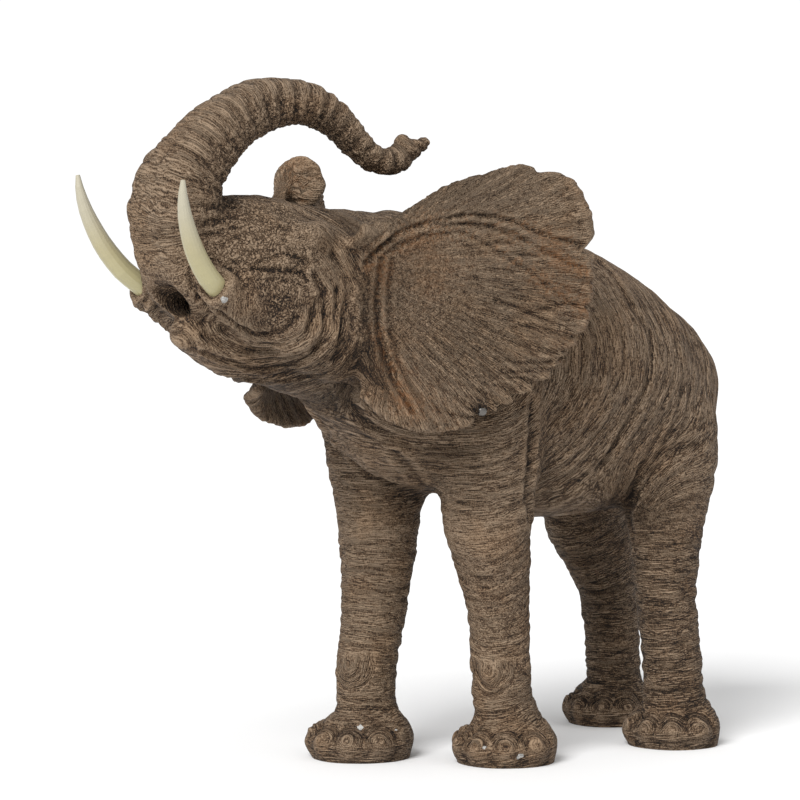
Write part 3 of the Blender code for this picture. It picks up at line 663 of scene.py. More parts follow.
@dataclass(frozen=True)
class Ear:
    """A fan ruled between the root and the rim, bowed towards its hollow front."""

    name: str
    root: Points
    rim: Points
    side: Side
    columns: int = 144
    rows: int = 56

    def edges(self) -> tuple[Points, Points, Points]:
        """Root, rim and the way that the ear's hollow front faces."""
        root = smooth_row(self.root, self.columns)
        rim = smooth_row(self.rim, self.columns)
        middle = self.columns // 2
        out = unit(np.cross(rim[-1] - rim[0], rim[middle] - root[middle]))
        return root, rim, out * np.sign(out[1] * root[0, 1])

    def grid(self, gather: float = 0.0) -> Points:
        """Points over the ear.

        Args:
            gather: how far the root is drawn up to the top of itself, from 0 to 1.

        Returns:
            Rows of columns of points, in shares.
        """
        root, rim, out = self.edges()
        share = np.linspace(0, 1, self.rows)[:, None, None]
        root = root + (root[:1] - root) * gather
        return root * (1 - share) + rim * share + out * EAR_CUP * np.sin(share * math.pi)

    def build(self) -> bpy.types.Object:
        """Lays a grid over the ear and gives it its thickness."""
        Bench.clear()
        bpy.ops.mesh.primitive_grid_add(
            x_subdivisions=self.columns // 2, y_subdivisions=self.rows // 2, size=1.0
        )
        obj = bpy.context.object
        obj.name = self.name
        flat = Bench.points(obj.data)
        row = np.rint((flat[:, 1] + 0.5) * (self.rows - 1)).astype(int)
        column = np.rint((flat[:, 0] + 0.5) * (self.columns - 1)).astype(int)
        Bench.place(obj.data, to_frame(self.grid()[row, column]))
        Bench.apply(obj, "SOLIDIFY", thickness=EAR_THICKNESS * HEIGHT, offset=0.0)
        Bench.turn_out(obj)
        return obj

    def on_front(self, row: Points) -> Points:
        """Points on the ear's front, from shares round the fan and from root to rim."""
        grid = self.grid() + self.edges()[2] * EAR_THICKNESS * 0.55
        places = []
        for turn, share in row:
            i, k = share * (self.rows - 1), turn * (self.columns - 1)
            a, b = int(i), int(k)
            low = grid[a, b] + (grid[a, b + 1] - grid[a, b]) * (k - b)
            high = grid[a + 1, b] + (grid[a + 1, b + 1] - grid[a + 1, b]) * (k - b)
            places.append(low + (high - low) * (i - a))
        return np.array(places)

    def read(self, points: Points, gather: float = 0.0) -> tuple[Points, Points, Points]:
        """Where points lie on the ear.

        Args:
            points: in shares.
            gather: how far the root is drawn up, as for grid.

        Returns:
            Share round the fan from top to bottom, share from root to rim, and distance.
        """
        grid = self.grid(gather)
        flat = grid.reshape(-1, 3)
        index = nearest(points, flat)
        row, column = index // self.columns, index % self.columns
        down, along = np.gradient(grid, axis=(0, 1))
        down, along = down.reshape(-1, 3)[index], along.reshape(-1, 3)[index]
        offset = points - flat[index]
        dd, aa, da = dot(down, down), dot(along, along), dot(down, along)
        od, oa = dot(offset, down), dot(offset, along)
        spread = np.maximum(dd * aa - da * da, 1e-12)
        row = row + np.clip((od * aa - oa * da) / spread, -1, 1)
        column = column + np.clip((oa * dd - od * da) / spread, -1, 1)
        distance = np.linalg.norm(offset, axis=1)
        return column / (self.columns - 1), row / (self.rows - 1), distance


@dataclass(frozen=True)
class Foot:
    """The pad of a foot: x, y and radius of its sole, and degrees that its toes turn from -X."""

    name: str
    x: float
    y: float
    radius: float
    turn: float
    toes: Sequence[float]

    def build(self) -> bpy.types.Object:
        """Draws the pad as ovals that widen from the ankle down."""
        turn = math.radians(self.turn)
        forward = -np.array([math.cos(turn), math.sin(turn), 0])
        rows = smooth_row(np.array([(back, 0, z, wide) for back, z, wide in FOOT_ROWS]), 24)
        centres = np.array([self.x, self.y, 0]) - forward * rows[:, :1] * self.radius
        centres[:, 2] = rows[:, 2]
        around = circle(np.array([0.0, 1e-6, 1.0]), 36)
        ring = centres[:, None] + around * (rows[:, 3, None, None] * self.radius)
        return Bench.ringed(self.name, to_frame(ring), to_frame(centres[[0, -1]]))

    def toe_places(self) -> Points:
        """Where the toes stand out of the pad."""
        angle = np.radians(self.turn + np.array(self.toes))
        out = np.column_stack([np.cos(angle), np.sin(angle)]) * self.radius * 0.98
        return np.column_stack([(self.x, self.y) - out, np.full(len(angle), TOE_HEIGHT)])


EARS = (
    Ear("ear_left", mirrored(EAR_ROOT), EAR_RIM_LEFT, Side.LEFT),
    Ear("ear_right", EAR_ROOT, EAR_RIM_RIGHT, Side.RIGHT),
)
LEGS = (FRONT_LEG_LEFT, FRONT_LEG_RIGHT, HIND_LEG_LEFT, HIND_LEG_RIGHT)
FEET = (
    Foot("foot_front_left", -0.131, -0.078, 0.076, 12, TOE_ANGLES),
    Foot("foot_front_right", -0.262, 0.097, 0.078, 0, TOE_ANGLES),
    Foot("foot_hind_left", 0.174, -0.122, 0.071, 8, TOE_ANGLES[1:]),
    Foot("foot_hind_right", 0.259, 0.106, 0.067, 0, TOE_ANGLES[1:]),
)


class Hide:
    """The skin's points, and the two sets of lines that its folds follow.

    The first set holds the trunk, ears, legs and feet, the second the head, the body and the
    rings round toes and knees, so that two parts that meet are never in one set.
    """

    def __init__(self, mesh: bpy.types.Mesh) -> None:
        self.mesh = mesh
        self.points = to_shares(Bench.points(mesh))
        self.normals = Bench.points(mesh, "normal")
        self.rise = np.zeros(len(self.points))
        self.slide = np.zeros((len(self.points), 3))
        self.read_parts()

    def read_parts(self) -> None:
        """Works out where each point lies on the trunk, ears and legs, and its lines."""
        p = self.points
        x, y, z = p.T
        count = len(p)
        self.first, self.first_cross, self.first_share = np.zeros((3, count))
        self.comb = np.ones(count)
        self.trunk_run, self.trunk_across, self.trunk_deep = Line(TRUNK, 240).read(p)
        level = np.hypot(self.trunk_across, self.trunk_deep)
        self.trunk = ease(self.trunk_run, 0.055, 0.115) * ease(-level, -1.7, -1.4)
        on = self.trunk > 0
        self.lay(on, self.trunk_run[on], self.trunk_across[on] * 0.05, self.trunk[on])
        self.comb[on] = (0.15 + 0.85 * ease(self.trunk_deep, 0.0, 0.5))[on]
        self.ear, self.ear_turn, self.ear_share = np.zeros((3, 2, count))
        for index, ear in enumerate(EARS):
            near = np.flatnonzero((y * ear.side > 0.085) & (z > 0.45) & (z < 0.93) & (x < -0.06))
            turn, share, distance = ear.read(p[near], gather=0.7)
            self.ear_turn[index, near], self.ear_share[index, near], _ = ear.read(p[near])
            reach = EAR_REACH[ear.side]
            on_ear = ease(-distance, -reach, -0.55 * reach) * ease(share, 0.02, 0.10)
            self.ear[index, near] = on_ear
            stronger = on_ear > self.first_share[near]
            chosen = near[stronger]
            turn, share = turn[stronger], share[stronger]
            self.lay(chosen, turn * 0.9, share * 0.35, on_ear[stronger])
            self.comb[chosen] = 1 - 0.55 * ease(-share, -0.60, -0.35)
        self.leg = ease(-z, -0.40, -0.30) * (1 - np.maximum(self.ear[0], self.ear[1]))
        low = np.flatnonzero(self.leg > 0)
        best = np.full(len(low), np.inf)
        for stations in LEGS:
            run, across, deep = Line(stations, 120).read(p[low])
            level = np.hypot(across, deep)
            closer = level < best
            best[closer] = level[closer]
            index = low[closer]
            self.lay(index, run[closer], (x + y)[index], self.leg[index])
        near_leg = self.leg * (y < 0) * (x < 0) * ease(z, 0.13, 0.20)
        self.first += near_leg * 0.30 * (x + 0.20 + 0.6 * (y + 0.11))
        self.comb *= 1 - 0.45 * near_leg
        self.second = self.body_lines(x, z)
        self.second_cross = z.copy()
        head = ease(-x, 0.40, 0.46)
        arc = np.hypot(x - CHEEK_ARC[0], z - CHEEK_ARC[1])
        self.second = self.second * (1 - head) + arc * head
        self.second_cross = self.second_cross * (1 - head) + (x - z) * head
        combed = np.maximum(ease(-z, -0.72, -0.66), ease(x, -0.54, -0.50)) * ease(arc, 0.02, 0.06)
        self.comb *= 1 - head * (1 - self.first_share) * (1 - combed)
        self.comb *= 1 - 0.6 * ease(z, 0.66, 0.76) * (1 - head) * (1 - self.first_share)
        toe_gap = np.full(count, np.inf)
        feet = np.flatnonzero(z < 0.10)
        centres = np.vstack([foot.toe_places() for foot in FEET])
        found = nearest(p[feet], centres)
        toe_gap[feet] = np.linalg.norm(p[feet] - centres[found], axis=1)
        knee_gap = np.full(count, np.inf)
        for knee in KNEES:
            offset = p - knee
            offset[:, 2] = np.minimum(offset[:, 2], 0) + np.maximum(offset[:, 2] - 0.04, 0)
            knee_gap = np.minimum(knee_gap, np.linalg.norm(offset, axis=1))
        for gap, reach, middle in ((toe_gap, 0.040, TOE_HEIGHT), (knee_gap, 0.048, 0)):
            ringed = ease(-gap, -reach, -0.7 * reach) * ease(z, middle - 0.012, middle + 0.006)
            if middle == 0:
                ringed *= ease(-z, -0.165, -0.145)
            on = ringed > 0
            self.second[on] = gap[on] + 0.0055 * grain(p[on] * 34, 2.0)
            self.second_cross[on] = z[on]
            self.first_share[on] *= 1 - ringed[on]

    def lay(self, where: Points, line: Points, cross: Points, share: Points) -> None:
        """Sets the first set's lines, the numbers that grow along them and their share."""
        self.first[where] = line
        self.first_cross[where] = cross
        self.first_share[where] = share

    @staticmethod
    def body_lines(x: Points, z: Points) -> Points:
        """Lines of the body: arcs round the shoulder that run together at the groin.

        Args:
            x: along the body, in shares.
            z: height, in shares.

        Returns:
            A number that is the same all along one line.
        """
        arc = np.hypot((x - BODY_ARC[0]) * 0.74, z - BODY_ARC[1])
        dx, dz = x - GROIN[0], z - GROIN[1]
        turn = np.arctan2(-dx, dz) - math.pi / 4
        near = groove(np.hypot(dx, dz), 0.13)
        return arc * (1 - near) + (0.30 - 0.10 * turn) * near

    def crease(self, row: Points, half_width: float, depth: float, roll: float) -> None:
        """Presses a sharp groove along a row of points, with low rolls beside it.

        Args:
            row: points on the skin, in shares.
            half_width: of the groove.
            depth: of the groove.
            roll: height of the rolls, as a share of the depth.
        """
        row = smooth_row(row, 60)
        reach = 4 * half_width
        low, high = row.min(axis=0) - reach, row.max(axis=0) + reach
        near = np.flatnonzero(np.all((self.points > low) & (self.points < high), axis=1))
        gap = np.full(len(self.points), np.inf)
        for place in row:
            gap[near] = np.minimum(gap[near], np.linalg.norm(self.points[near] - place, axis=1))
        gap /= half_width
        self.rise += depth * (roll * np.exp(-((gap - 1.9) ** 2) / 0.5) - groove(gap, 1, 1.4))

    def wrinkle(
        self, where: Points, line: Points, pitch: float, depth: float, run: float, seed: float
    ) -> None:
        """Presses fine broken grooves along a set of lines.

        Args:
            where: how strongly, from 0 to 1, at each point.
            line: the number that is the same all along one line.
            pitch: between lines, in shares.
            depth: of a groove.
            run: how long a groove is.
            seed: a number that no other call has.
        """
        on = np.flatnonzero(where > 0.02)
        x, y, z = self.points[on].T
        spots = np.column_stack([line[on] / pitch, (x + 0.6 * y) / run, (z - 0.6 * y) / run])
        self.rise[on] -= depth * where[on] * groove(grain(spots, seed), 0.28, 1.5)

    def mound(self, place: Sequence[float], radius: float, height: float, crease: float = 0.0) -> None:
        """Raises a round lump with a crease round its foot."""
        gap = np.linalg.norm(self.points - place, axis=1) / radius
        self.rise += height * ease(-gap, -1, 0) - crease * groove(gap - 0.95, 0.2)

    def rings(
        self, place: Sequence[float], bend: Points, rings: Sequence, width: float, where: Points
    ) -> None:
        """Presses round grooves about a place.

        Args:
            place: their middle.
            bend: how far each point's own circle strays.
            rings: radius and depth of each groove.
            width: of a groove.
            where: how strongly, from 0 to 1, at each point.
        """
        gap = np.linalg.norm(self.points - place, axis=1) + bend
        for radius, depth in rings:
            self.rise -= depth * where * groove(gap - radius, width)

    def rim(self, place: Points, axis: Points, radius: float, width: float, height: float) -> None:
        """Raises a rim round an axis, near a place."""
        offset = self.points - place
        along = offset @ axis
        gap = np.linalg.norm(offset - along[:, None] * axis, axis=1) - radius
        self.rise += height * (np.abs(along) < 0.035) * groove(gap, width)

    def gap_to(self, row: Points) -> Points:
        """Distance of each point from a smooth row of points, in shares."""
        row = smooth_row(row, 60)
        return np.linalg.norm(self.points - row[nearest(self.points, row)], axis=1)

    def finish(self) -> None:
        """Moves the points."""
        moved = self.points + self.normals * self.rise[:, None] + self.slide
        Bench.place(self.mesh, to_frame(moved))

    def cavity(self) -> Points:
        """How deep each point lies below its neighbours, from -1 to 1."""
        count = len(self.mesh.vertices)
        ends = np.empty(len(self.mesh.edges) * 2, np.int32)
        self.mesh.edges.foreach_get("vertices", ends)
        a, b = ends.reshape(-1, 2).T
        degree = np.bincount(a, minlength=count) + np.bincount(b, minlength=count)
        points = Bench.points(self.mesh)
        flat = points.copy()
        for _ in range(3):
            total = np.zeros_like(flat)
            np.add.at(total, a, flat[b])
            np.add.at(total, b, flat[a])
            flat = total / np.maximum(degree, 1)[:, None]
        deep = dot(flat - points, self.normals)
        return np.clip(deep / (HEIGHT * DEEPEST), -1, 1)


class Casting:
    """The elephant's body, cast in one with its ears, trunk, legs and tail."""

    forms = (
        Form("torso", TORSO, squareness=2.2, outer_squareness=2.2),
        Form("head", HEAD, squareness=2.2, outer_squareness=2.2),
        Form("jaw", JAW),
        Form("trunk", TRUNK, rings=90, sides=36, squareness=2.1, outer_squareness=3.2),
        Form("trunk_finger", TRUNK_FINGER, rings=12, sides=16),
        Form("trunk_thumb", TRUNK_THUMB, rings=12, sides=16),
        Form("tail", TAIL, sides=16),
    )

    def build(self) -> bpy.types.Object:
        """Builds the whole casting.

        Returns:
            The carved object.
        """
        parts = [form.build() for form in self.forms]
        for name, stations in (("socket", SOCKET), ("cheek", CHEEK), ("brow", BROW)):
            parts.append(Form(name + "_right", stations, rings=16).build())
            parts.append(Form(name + "_left", mirrored(stations), rings=16).build())
        parts += [Form("leg", stations).build() for stations in LEGS]
        parts += [foot.build() for foot in FEET]
        parts += [ear.build() for ear in EARS]
        parts.append(self.curl())
        skin = Bench.join(parts, "elephant_skin")
        Bench.apply(skin, "REMESH", mode="VOXEL", voxel_size=GRAIN * HEIGHT)
        mouth = Form("mouth", MOUTH, rings=16).build()
        Bench.apply(skin, "BOOLEAN", operation="DIFFERENCE", solver="EXACT", object=mouth)
        bpy.data.objects.remove(mouth)
        Bench.apply(skin, "REMESH", mode="VOXEL", voxel_size=FINE_GRAIN * HEIGHT)
        Bench.apply(skin, "SMOOTH", factor=0.5, iterations=SOFTENING)
        log.info("melted skin: %d points", len(skin.data.vertices))
        self.carve(skin.data)
        ratio = min(1.0, SKIN_TRIANGLES / Bench.triangles(skin))
        Bench.apply(skin, "DECIMATE", ratio=ratio, use_collapse_triangulate=True)
        self.level_soles(skin)
        self.mark(skin.data)
        Bench.pick(skin)
        bpy.ops.object.shade_smooth()
        return skin

    @staticmethod
    def curl() -> bpy.types.Object:
        """The right ear's curled top edge: a thick disc that faces forward and in."""
        face = unit(np.array(EAR_CURL_FACES))
        around = circle(face, 32)
        centre = np.array(EAR_CURL)
        rows = []
        for t in np.linspace(0, math.pi, 9)[1:-1]:
            out = centre + face * EAR_CURL_HALF_THICKNESS * math.cos(t)
            rows.append(out + around * EAR_CURL_RADIUS * math.sin(t) ** 0.4)
        ends = centre + face * EAR_CURL_HALF_THICKNESS * np.array([[1], [-1]])
        return Bench.ringed("ear_curl", to_frame(np.array(rows)), to_frame(ends))

    def carve(self, mesh: bpy.types.Mesh) -> None:
        """Presses the folds, ribs, rings and toes into the smooth skin."""
        hide = Hide(mesh)
        self.carve_body(hide)
        self.carve_ears(hide)
        self.carve_trunk(hide)
        self.carve_legs(hide)
        hide.finish()

    @staticmethod
    def carve_body(hide: Hide) -> None:
        """Carves the head and the body: creases, eyes, the sockets' rims, lumps and wrinkles."""
        for side in Side:
            for rows, *sizes in CREASES:
                for row in rows:
                    hide.crease(row * (1, -side, 1), *sizes)
            hide.mound(np.array(EYE_BALL) * (1, -side, 1), EYE_BALL_RADIUS, EYE_BALL_HEIGHT)
            root, ahead = TUSK_ROOTS[side]
            for sizes in SOCKET_RIMS:
                hide.rim(root, unit(ahead - root), *sizes)
        second = 1 - hide.first_share
        nape = ease(hide.points[:, 2], 0.70, 0.76) * second
        hide.rise += NAPE_LUMP_HEIGHT * grain(hide.points * 36, 41.0) * nape
        off_ears = 1 - hide.ear.max(axis=0)
        hide.rise += LUMP_HEIGHT * grain(hide.points * 18, 40.0) * off_ears
        for sizes in HIDE_WRINKLES:
            hide.wrinkle(second * hide.comb, hide.second, *sizes)
        hide.wrinkle(second * (1 - hide.comb), hide.second, *FACE_WRINKLE)

    @staticmethod
    def carve_ears(hide: Hide) -> None:
        """Carves the creases and ribs of both ears, the left ear's scalloped edge, and the pin's
        hollow.
        """
        for index, ear in enumerate(EARS):
            for row, depth in zip(EAR_CREASES, EAR_CREASE_DEPTHS):
                hide.crease(ear.on_front(row), 0.0038, depth, 0.6)
            for row, depth in zip(EAR_LIP_CREASES, EAR_LIP_CREASE_DEPTHS):
                hide.crease(ear.on_front(row), 0.0046, depth, 0.6)
            turn, share, on_ear = hide.ear_turn[index], hide.ear_share[index], hide.ear[index]
            root, rim, out = ear.edges()
            front = np.clip(hide.normals @ out * 2, 0, 1)
            notches = np.zeros(len(turn))
            for place in EAR_SCALLOPS:
                wander = 0.012 * np.sin(share * 9 + place * 40)
                notches = np.maximum(notches, groove(turn - place - wander, 0.0060, 1.5))
            ribs = notches * ease(share, 0.50, 0.80) * EAR_RIB_STRENGTH[ear.side]
            hide.rise -= EAR_RIB_DEPTH * ribs * on_ear * (0.35 + 0.65 * front)
            if ear.side is Side.LEFT:
                column = np.clip(np.rint(turn * (ear.columns - 1)).astype(int), 0, ear.columns - 1)
                bite = EAR_SCALLOP_DEPTH * notches * ease(share, 0.86, 0.98)
                for place, width, depth in EAR_NOTCHES:
                    bite += depth * groove(turn - place, width, 1.6) * ease(share, 0.80, 1.0)
                hide.slide += unit(root - rim)[column] * (bite * on_ear)[:, None]
            lip = groove(share - 0.955, 0.022) * ease(turn, 0.25, 0.4) * ease(-turn, -0.92, -0.85)
            hide.rise += EAR_LIP_HEIGHT * lip * on_ear * front
            for where, (*sizes, seed) in zip((ease(share, 0.25, 0.5), 1), EAR_WRINKLES):
                hide.wrinkle(on_ear * where, hide.first, *sizes, seed + index)
        hide.mound(PIN_PLACE, PIN_HOLLOW_RADIUS, -PIN_HOLLOW_DEPTH)

    @staticmethod
    def carve_trunk(hide: Hide) -> None:
        """Carves rings on the trunk's outer side and cobbles on its inner side."""
        inside = hide.trunk * ease(-hide.trunk_run, -0.92, -0.86)
        side = np.arctan2(hide.trunk_across, hide.trunk_deep)
        wander = 0.35 * np.sin(3 * side) + 0.25 * np.sin(7 * hide.trunk_run)
        wave = np.cos(hide.trunk_run / TRUNK_RING_PITCH * math.tau + wander)
        ring = np.abs(wave) ** 0.7 * np.sign(wave)
        size = 0.15 + 0.85 * np.exp(-((np.abs(hide.trunk_across) - 0.95) ** 2) / 0.08)
        size = size * (0.3 + 0.7 * ease(-hide.trunk_run, -0.80, -0.68))
        hide.rise += TRUNK_RING_HEIGHT * ring * size * inside
        outer = ease(hide.trunk_deep, -0.1, 0.5)
        row = hide.trunk_run / COBBLE_PITCH + 0.35 * grain(hide.points * 40, 6.0)
        lane = side * 3.2 + 0.5 * np.floor(row) + 0.35 * grain(hide.points * 40, 8.0)
        cobble = np.sqrt(np.abs(np.sin(math.pi * row) * np.sin(math.pi * lane)))
        hide.rise += COBBLE_HEIGHT * (cobble - 0.6) * (1 - outer) * inside
        for where, sizes in zip((0.4 + 0.6 * outer, 1 - outer), TRUNK_WRINKLES):
            hide.wrinkle(inside * where, hide.first, *sizes)

    @staticmethod
    def carve_legs(hide: Hide) -> None:
        """Carves the rings of the legs, the knees and the toes."""
        z = hide.points[:, 2]
        leg = hide.leg * hide.first_share * ease(z, 0.03, 0.07)
        for sizes in LEG_WRINKLES:
            hide.wrinkle(leg, hide.first, *sizes)
        bend = 0.0050 * grain(hide.points * 30, 4.0)
        for knee in KNEES:
            hide.mound(knee, KNEE_RADIUS, KNEE_RISE)
            hide.rings(knee, bend, KNEE_RINGS, 0.0030, ease(knee[2] + 0.016 - z, 0.0, 0.03))
        for foot in FEET:
            for place in foot.toe_places():
                hide.mound(place, TOE_RADIUS, TOE_RISE, TOE_CREASE)
                hide.rings(place, 0.3 * bend, TOE_RINGS, 0.0024, ease(z - place[2], -0.006, 0.010))

    @staticmethod
    def level_soles(skin: bpy.types.Object) -> None:
        """Cuts the legs level at the floor and closes the soles."""
        Bench.pick(skin)
        bpy.ops.object.mode_set(mode="EDIT")
        bpy.ops.mesh.select_all(action="SELECT")
        bpy.ops.mesh.bisect(plane_co=(0, 0, 0), plane_no=(0, 0, -1), use_fill=True, clear_outer=True)
        bpy.ops.object.mode_set(mode="OBJECT")

    @staticmethod
    def mark(mesh: bpy.types.Mesh) -> None:
        """Keeps the lines, shares and hollows of the skin, its wear, rust and chips, and its painted
        shade and dark stain, for its finish.
        """
        hide = Hide(mesh)
        scale = (HEIGHT, HEIGHT, 1)
        first = np.column_stack([hide.first, hide.first_cross, hide.first_share])
        second = np.column_stack([hide.second, hide.second_cross, hide.cavity()])
        Bench.paint(mesh, "lines_first", first * scale)
        Bench.paint(mesh, "lines_second", second * scale)
        p = hide.points
        z = p[:, 2]
        ears = hide.ear.max(axis=0)
        rust = [0.4 * (hide.ear * ease(hide.ear_share, 0.93, 0.98)).max(axis=0)]
        for ear in EARS:
            for row in EAR_CREASES[:3] + EAR_LIP_CREASES[:1]:
                rust.append(groove(hide.gap_to(ear.on_front(row)), 0.014))
        slit = np.minimum(hide.gap_to(EYE_SLIT), hide.gap_to(mirrored(EYE_SLIT)))
        behind = ease(p[:, 0], 0.02, 0.12)
        inner = ease(-hide.trunk_deep, -0.1, 0.6)
        # Painted shade under the body, on the hind legs and feet, in the mouth and round the pin, with
        # a dark stain on the cheek
        shade_and_stain = (
            # painted shade and dark stain at the listed places
            blotches(p, SHADE_AND_STAIN_PLACES),
            # darker along the eye slits
            1.8 * groove(slit, 0.0045),
            # painted shadow along the soles where they meet the floor
            ease(-z, -0.012, 0.0),
            # painted shade on the feet, darker towards the floor
            0.8 * ease(-z, -0.085, -0.02),
            # painted shade on the hind legs and, fainter, over the rear of the body
            behind * ease(-z, -0.44, -0.30),
            0.3 * behind * ease(-z, -0.80, -0.60),
            # painted shade under the belly
            0.35 * ease(p[:, 0], -0.22, -0.10) * ease(-z, -0.60, -0.44),
            # darker on the trunk's inner side
            0.55 * hide.trunk * inner,
        )
        worn = (
            groove(hide.gap_to(WORN_LINE), 0.022),
            0.25 * hide.trunk * ease(hide.trunk_deep, 0.2, 0.8),
            ease(-np.linalg.norm(p - EAR_CURL, axis=1), -0.056, -0.044),
            ears * ease(z, 0.70, 0.78),
            blotches(p, PALE_PLACES),
        )
        rust, shade_and_stain, worn = (np.max(layers, axis=0) for layers in (rust, shade_and_stain, worn))
        Bench.paint(mesh, "combing", np.column_stack([hide.comb, blotches(p, CHIPS, 0.2), worn]))
        Bench.paint(mesh, "stains_and_shade", np.column_stack([rust, shade_and_stain, ears]))


class Link:
    """A value in a finish, in sums written as Python."""

    def __init__(self, palette: "Palette", socket: bpy.types.NodeSocket) -> None:
        self.palette = palette
        self.socket = socket

    def __add__(self, other: "Link | float") -> "Link":
        """Sum."""
        return self.palette.sum("ADD", self, other)

    def __sub__(self, other: "Link | float") -> "Link":
        """Difference."""
        return self.palette.sum("SUBTRACT", self, other)

    def __rsub__(self, other: "Link | float") -> "Link":
        """Difference from a number."""
        return self.palette.sum("SUBTRACT", other, self)

    def __mul__(self, other: "Link | float") -> "Link":
        """Product."""
        return self.palette.sum("MULTIPLY", self, other)

    def __pow__(self, other: float) -> "Link":
        """Power."""
        return self.palette.sum("POWER", self, other)

    __radd__ = __add__
    __rmul__ = __mul__


class Palette:
    """One material's nodes."""

    def __init__(self, name: str) -> None:
        self.material = bpy.data.materials.new(name)
        self.material.use_nodes = True
        self.tree = self.material.node_tree
        self.shader = self.tree.nodes["Principled BSDF"]

    def node(
        self, kind: str, settings: dict[str, object] | None = None, **sockets: object
    ) -> bpy.types.Node:
        """Adds a node.

        Args:
            kind: its type's name.
            settings: what is set on the node first. A ramp's stops are under "stops".
            sockets: values or links of its sockets, with _ for a space in a name, or s0, s1
                and so on for a socket's place.

        Returns:
            The node.
        """
        node = self.tree.nodes.new(kind)
        for name, value in (settings or {}).items():
            if name == "stops":
                self.set_stops(node.color_ramp, value)
            else:
                setattr(node, name, value)
        for name, value in sockets.items():
            key = int(name[1:]) if name[1:].isdigit() else name.replace("_", " ")
            self.feed(node.inputs[key], value)
        return node

    @staticmethod
    def set_stops(ramp: bpy.types.ColorRamp, stops: Sequence[tuple[float, Sequence[float]]]) -> None:
        """Sets a ramp's places and colours."""
        while len(ramp.elements) < len(stops):
            ramp.elements.new(0.5)
        for element, (place, colour) in zip(ramp.elements, stops):
            element.position = place
            element.color = (*colour, 1)

    def feed(self, socket: bpy.types.NodeSocket, value: object) -> None:
        """Links a value to a socket, or sets it."""
        if isinstance(value, Link):
            self.tree.links.new(value.socket, socket)
        elif isinstance(value, bpy.types.NodeSocket):
            self.tree.links.new(value, socket)
        else:
            socket.default_value = value

    def sum(self, operation: str, a: object, b: object = 0.0, clamp: bool = False) -> Link:
        """One Math node's result."""
        node = self.node("ShaderNodeMath", {"operation": operation, "use_clamp": clamp}, s0=a, s1=b)
        return Link(self, node.outputs[0])

    def parts(self, vector: bpy.types.NodeSocket) -> tuple[Link, Link, Link]:
        """The three numbers of a vector."""
        node = self.node("ShaderNodeSeparateXYZ", None, s0=vector)
        return tuple(Link(self, output) for output in node.outputs)

    def attribute(self, name: str) -> tuple[Link, Link, Link]:
        """The three numbers that a piece keeps at its points."""
        node = self.node("ShaderNodeAttribute", {"attribute_name": name})
        return self.parts(node.outputs["Vector"])

    def place(self) -> tuple[Link, Link, Link]:
        """The point's place on the piece, in metres."""
        return self.parts(self.node("ShaderNodeTexCoord").outputs["Object"])

    def noise(
        self, x: object, y: object, z: object, detail: float = 2.0, roughness: float = 0.5
    ) -> Link:
        """Noise about 0.5, one bump to a unit."""
        where = self.node("ShaderNodeCombineXYZ", None, s0=x, s1=y, s2=z).outputs[0]
        looks = {"Scale": 1.0, "Detail": detail, "Roughness": roughness}
        return Link(self, self.node("ShaderNodeTexNoise", None, Vector=where, **looks).outputs[0])

    def band(self, value: object, low: float, high: float) -> Link:
        """0 at low, easing to 1 at high."""
        smooth = {"interpolation_type": "SMOOTHSTEP"}
        node = self.node("ShaderNodeMapRange", smooth, Value=value, From_Min=low, From_Max=high)
        return Link(self, node.outputs[0])

    def blend(self, factor: object, a: object, b: object, kind: str = "MIX") -> bpy.types.NodeSocket:
        """Mixes two colours."""
        settings = {"data_type": "RGBA", "blend_type": kind}
        return self.node("ShaderNodeMix", settings, s0=factor, s6=a, s7=b).outputs[2]

    def ramp(self, value: Link, *stops: tuple[float, Sequence[float]]) -> bpy.types.NodeSocket:
        """A colour that a value picks between stops."""
        return self.node("ShaderNodeValToRGB", {"stops": stops}, s0=value).outputs[0]

    def bump(self, height: object, distance: float, strength: float) -> None:
        """Gives the surface a fine relief."""
        node = self.node("ShaderNodeBump", None, Height=height, Distance=distance, Strength=strength)
        self.feed(self.shader.inputs["Normal"], node.outputs[0])


